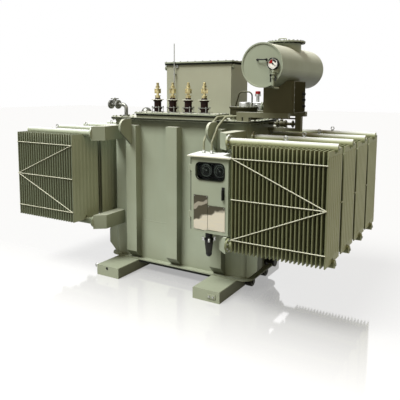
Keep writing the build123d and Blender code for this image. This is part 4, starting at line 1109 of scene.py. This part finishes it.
def weld_seams():
    """Weld beads where the stiffeners, walls and floor plate meet, and across a front and a rear panel."""
    low, high = box("tank_wall")
    beads = []
    for sign in (-1, 1):
        y = sign * high[1]
        for x in STIFFENER_XS:
            for edge in (x - STIFFENER_HALF, x + STIFFENER_HALF):
                beads.append([(edge, y, z) for z in STIFFENER_WELD])
        beads += [[(x, y, low[2]) for x in field] for field in WALL_FIELDS]
        beads.append([(x, y - sign * SEAM_SUNK, PLATE_SEAM) for x in WALL_FIELDS[1]])
    piece("weld_seams", at_each(beads, lambda bm, bead: rod(bm, bead, 5, 8)), paint)


def valve_wheels():
    """Handwheels with spokes on the filter valve and the drain valve, and the filter valve's flange bolts."""
    hub = [(0, -8), (14, -8), (14, 10), (9, 14), (0, 14)]

    def wheel(bm, x, y, z, radius):
        hoop(bm, upright(x, y, z), radius, 7, 10, 32)
        first_spoke = 0.3
        for k in range(4):
            angle = pi / 2 * k + first_spoke
            rod(bm, [(x, y, z), (x + radius * cos(angle), y + radius * sin(angle), z)], 5, 8)
        turned(bm, hub, upright(x, y, z), 16)

    stem_x, stem_y, pipe_start, pipe_z = -1090, -330, -885, 2280
    top = box("filter_valve")[1][2]
    piece("filter_valve_wheel", lambda bm: wheel(bm, stem_x, stem_y, top + 8, 52), tarnished_steel)
    spots = []
    for reach in (130, 258):
        for back, sign in ((0, 1), (24, -1)):
            spots += circle_spots(facing_side(pipe_start - reach - back, stem_y, pipe_z, sign), 48, 8)
    bolts("filter_valve_bolts", spots, 11)
    drain_x, drain_y, drain_top = 1120, middle("drain_valve")[1], box("drain_valve")[1][2]
    piece("drain_valve_wheel", lambda bm: wheel(bm, drain_x, drain_y, drain_top + 9, 64), black_plastic)


def head_fasteners():
    """Bolts on the lid of the tap changer, and the bolts and sight glass of the relay."""
    lid_x, lid_y, lid_top, bolt_circle = 804, -60, 2275, 164
    bolts("tap_changer_bolts", circle_spots(upright(lid_x, lid_y, lid_top), bolt_circle, 20, 9), 17)
    low, high = box("gas_relay")
    spots = [((x, low[1], low[2] + rise), FRONT) for x in (low[0] + 18, high[0] - 18) for rise in (18, 122)]
    bolts("relay_bolts", spots, 13)
    place = facing_front(middle("gas_relay")[0], low[1], low[2] + 70)
    piece("relay_sight_ring", lambda bm: ring(bm, 30, 42, 0, 8, 2, place, 32), aluminium)
    turnings("relay_sight_glass", disc(29.6, 0.1, 4), [place], 32, black_plastic, "gauge")


def seen_rays(add):
    """1 for rays from the eye, a mirror or glass, 0 for the rays that light the object."""
    rays = add("LightPath").outputs
    seen = rays["Is Camera Ray"]
    for kind in ("Is Glossy Ray", "Is Transmission Ray"):
        seen = add("Math", {"operation": "MAXIMUM", 0: seen, 1: rays[kind]})
    return seen


def studio_floor():
    """A wide pale floor, white to the eye, with a polish that fades out towards the front."""
    material, add, shader, place = new_material("studio_floor")
    output = shader.outputs[0].links[0].to_node
    seen = seen_rays(add)
    tone = add("Mix", {"data_type": "RGBA", SHARE: seen, BELOW: linear(FLOOR_GREY),
                       ABOVE: linear(FLOOR_WHITE)})
    give(shader, {"Base Color": tone, "Roughness": 0.9, "Specular IOR Level": 0.0})
    white = add("Emission", {"Color": WHITE, "Strength": 1.0})
    lift = add("Math", {"operation": "MULTIPLY", 0: seen, 1: FLOOR_LIFT})
    lifted = add("MixShader", {0: lift, 1: shader, 2: white})
    depth = add("SeparateXYZ", {"Vector": place}).outputs["Y"]
    fade = add("MapRange", {"Value": depth, "From Min": POLISH_END, "From Max": POLISH_FULL,
                            "To Max": FLOOR_POLISH})
    polish = add("BsdfGlossy", {"Roughness": 0.06})
    give(output, {"Surface": add("MixShader", {0: fade, 1: lifted, 2: polish})})
    mesh = bpy.data.meshes.new("studio_floor")
    corners = [(x * FLOOR_REACH, y * FLOOR_REACH, 0) for x, y in ((-1, -1), (1, -1), (1, 1), (-1, 1))]
    mesh.from_pydata(corners, [], [(0, 1, 2, 3)])
    mesh.materials.append(material)
    floor = linked("studio_floor", mesh)


# The lamps: name, colour, strength, and spread, tilt and turn in degrees.
LAMPS = (
    ("high_lamp", "#FFFFFF", 5.1, 30, 31, -30),
    ("side_lamp", "#FFE2AE", 0.4, 40, 60, 65),
)


def studio_light():
    """A white surround for the eye and for mirrors, an even fill, and two soft lamps."""
    world = bpy.data.worlds.new("studio")
    bpy.context.scene.world = world
    world.use_nodes = True
    world.node_tree.nodes.clear()
    add = partial(node, world.node_tree)
    seen = seen_rays(add)
    level = add("MapRange", {"Value": seen, "To Min": FILL_LEVEL, "To Max": 1.0})
    tint = add("Mix", {"data_type": "RGBA", SHARE: seen, BELOW: linear(FILL_COLOUR), ABOVE: WHITE})
    add("OutputWorld", {"Surface": add("Background", {"Color": tint, "Strength": level})})
    for name, colour, strength, spread, tilt, turn in LAMPS:
        lamp = bpy.data.lights.new(name, "SUN")
        lamp.color = linear(colour)[:3]
        lamp.energy = strength
        lamp.angle = radians(spread)
        linked(name, lamp).rotation_euler = (radians(tilt), 0, radians(turn))


def photograph_camera():
    """The camera at the photograph's place."""
    lens = bpy.data.cameras.new("photograph")
    lens.sensor_width = SENSOR_MM
    lens.lens = FOCAL_PIXELS / PICTURE * SENSOR_MM
    lens.shift_x = (PICTURE / 2 - PRINCIPAL_PIXEL[0]) / PICTURE
    lens.shift_y = (PRINCIPAL_PIXEL[1] - PICTURE / 2) / PICTURE
    camera = linked("photograph", lens)
    camera.location = CAMERA_PLACE
    camera.rotation_euler = (pi / 2 - CAMERA_DROP, CAMERA_ROLL, CAMERA_YAW)
    bpy.context.scene.camera = camera


finish_cad_nodes()
cover_fasteners()
plate_fasteners()
seals()
bushing_clamps()
terminal_fittings()
level_gauge()
conservator_fittings()
door_dress()
cabinet_dress()
breather_dress()
skid_dress()
pedestal_dress()
bracket_pipework()
radiator_dress()
panel_flutes()
cable_box_dress()
weld_seams()
valve_wheels()
head_fasteners()
studio_floor()
studio_light()
photograph_camera()
bpy.context.scene.view_settings.view_transform = "Standard"
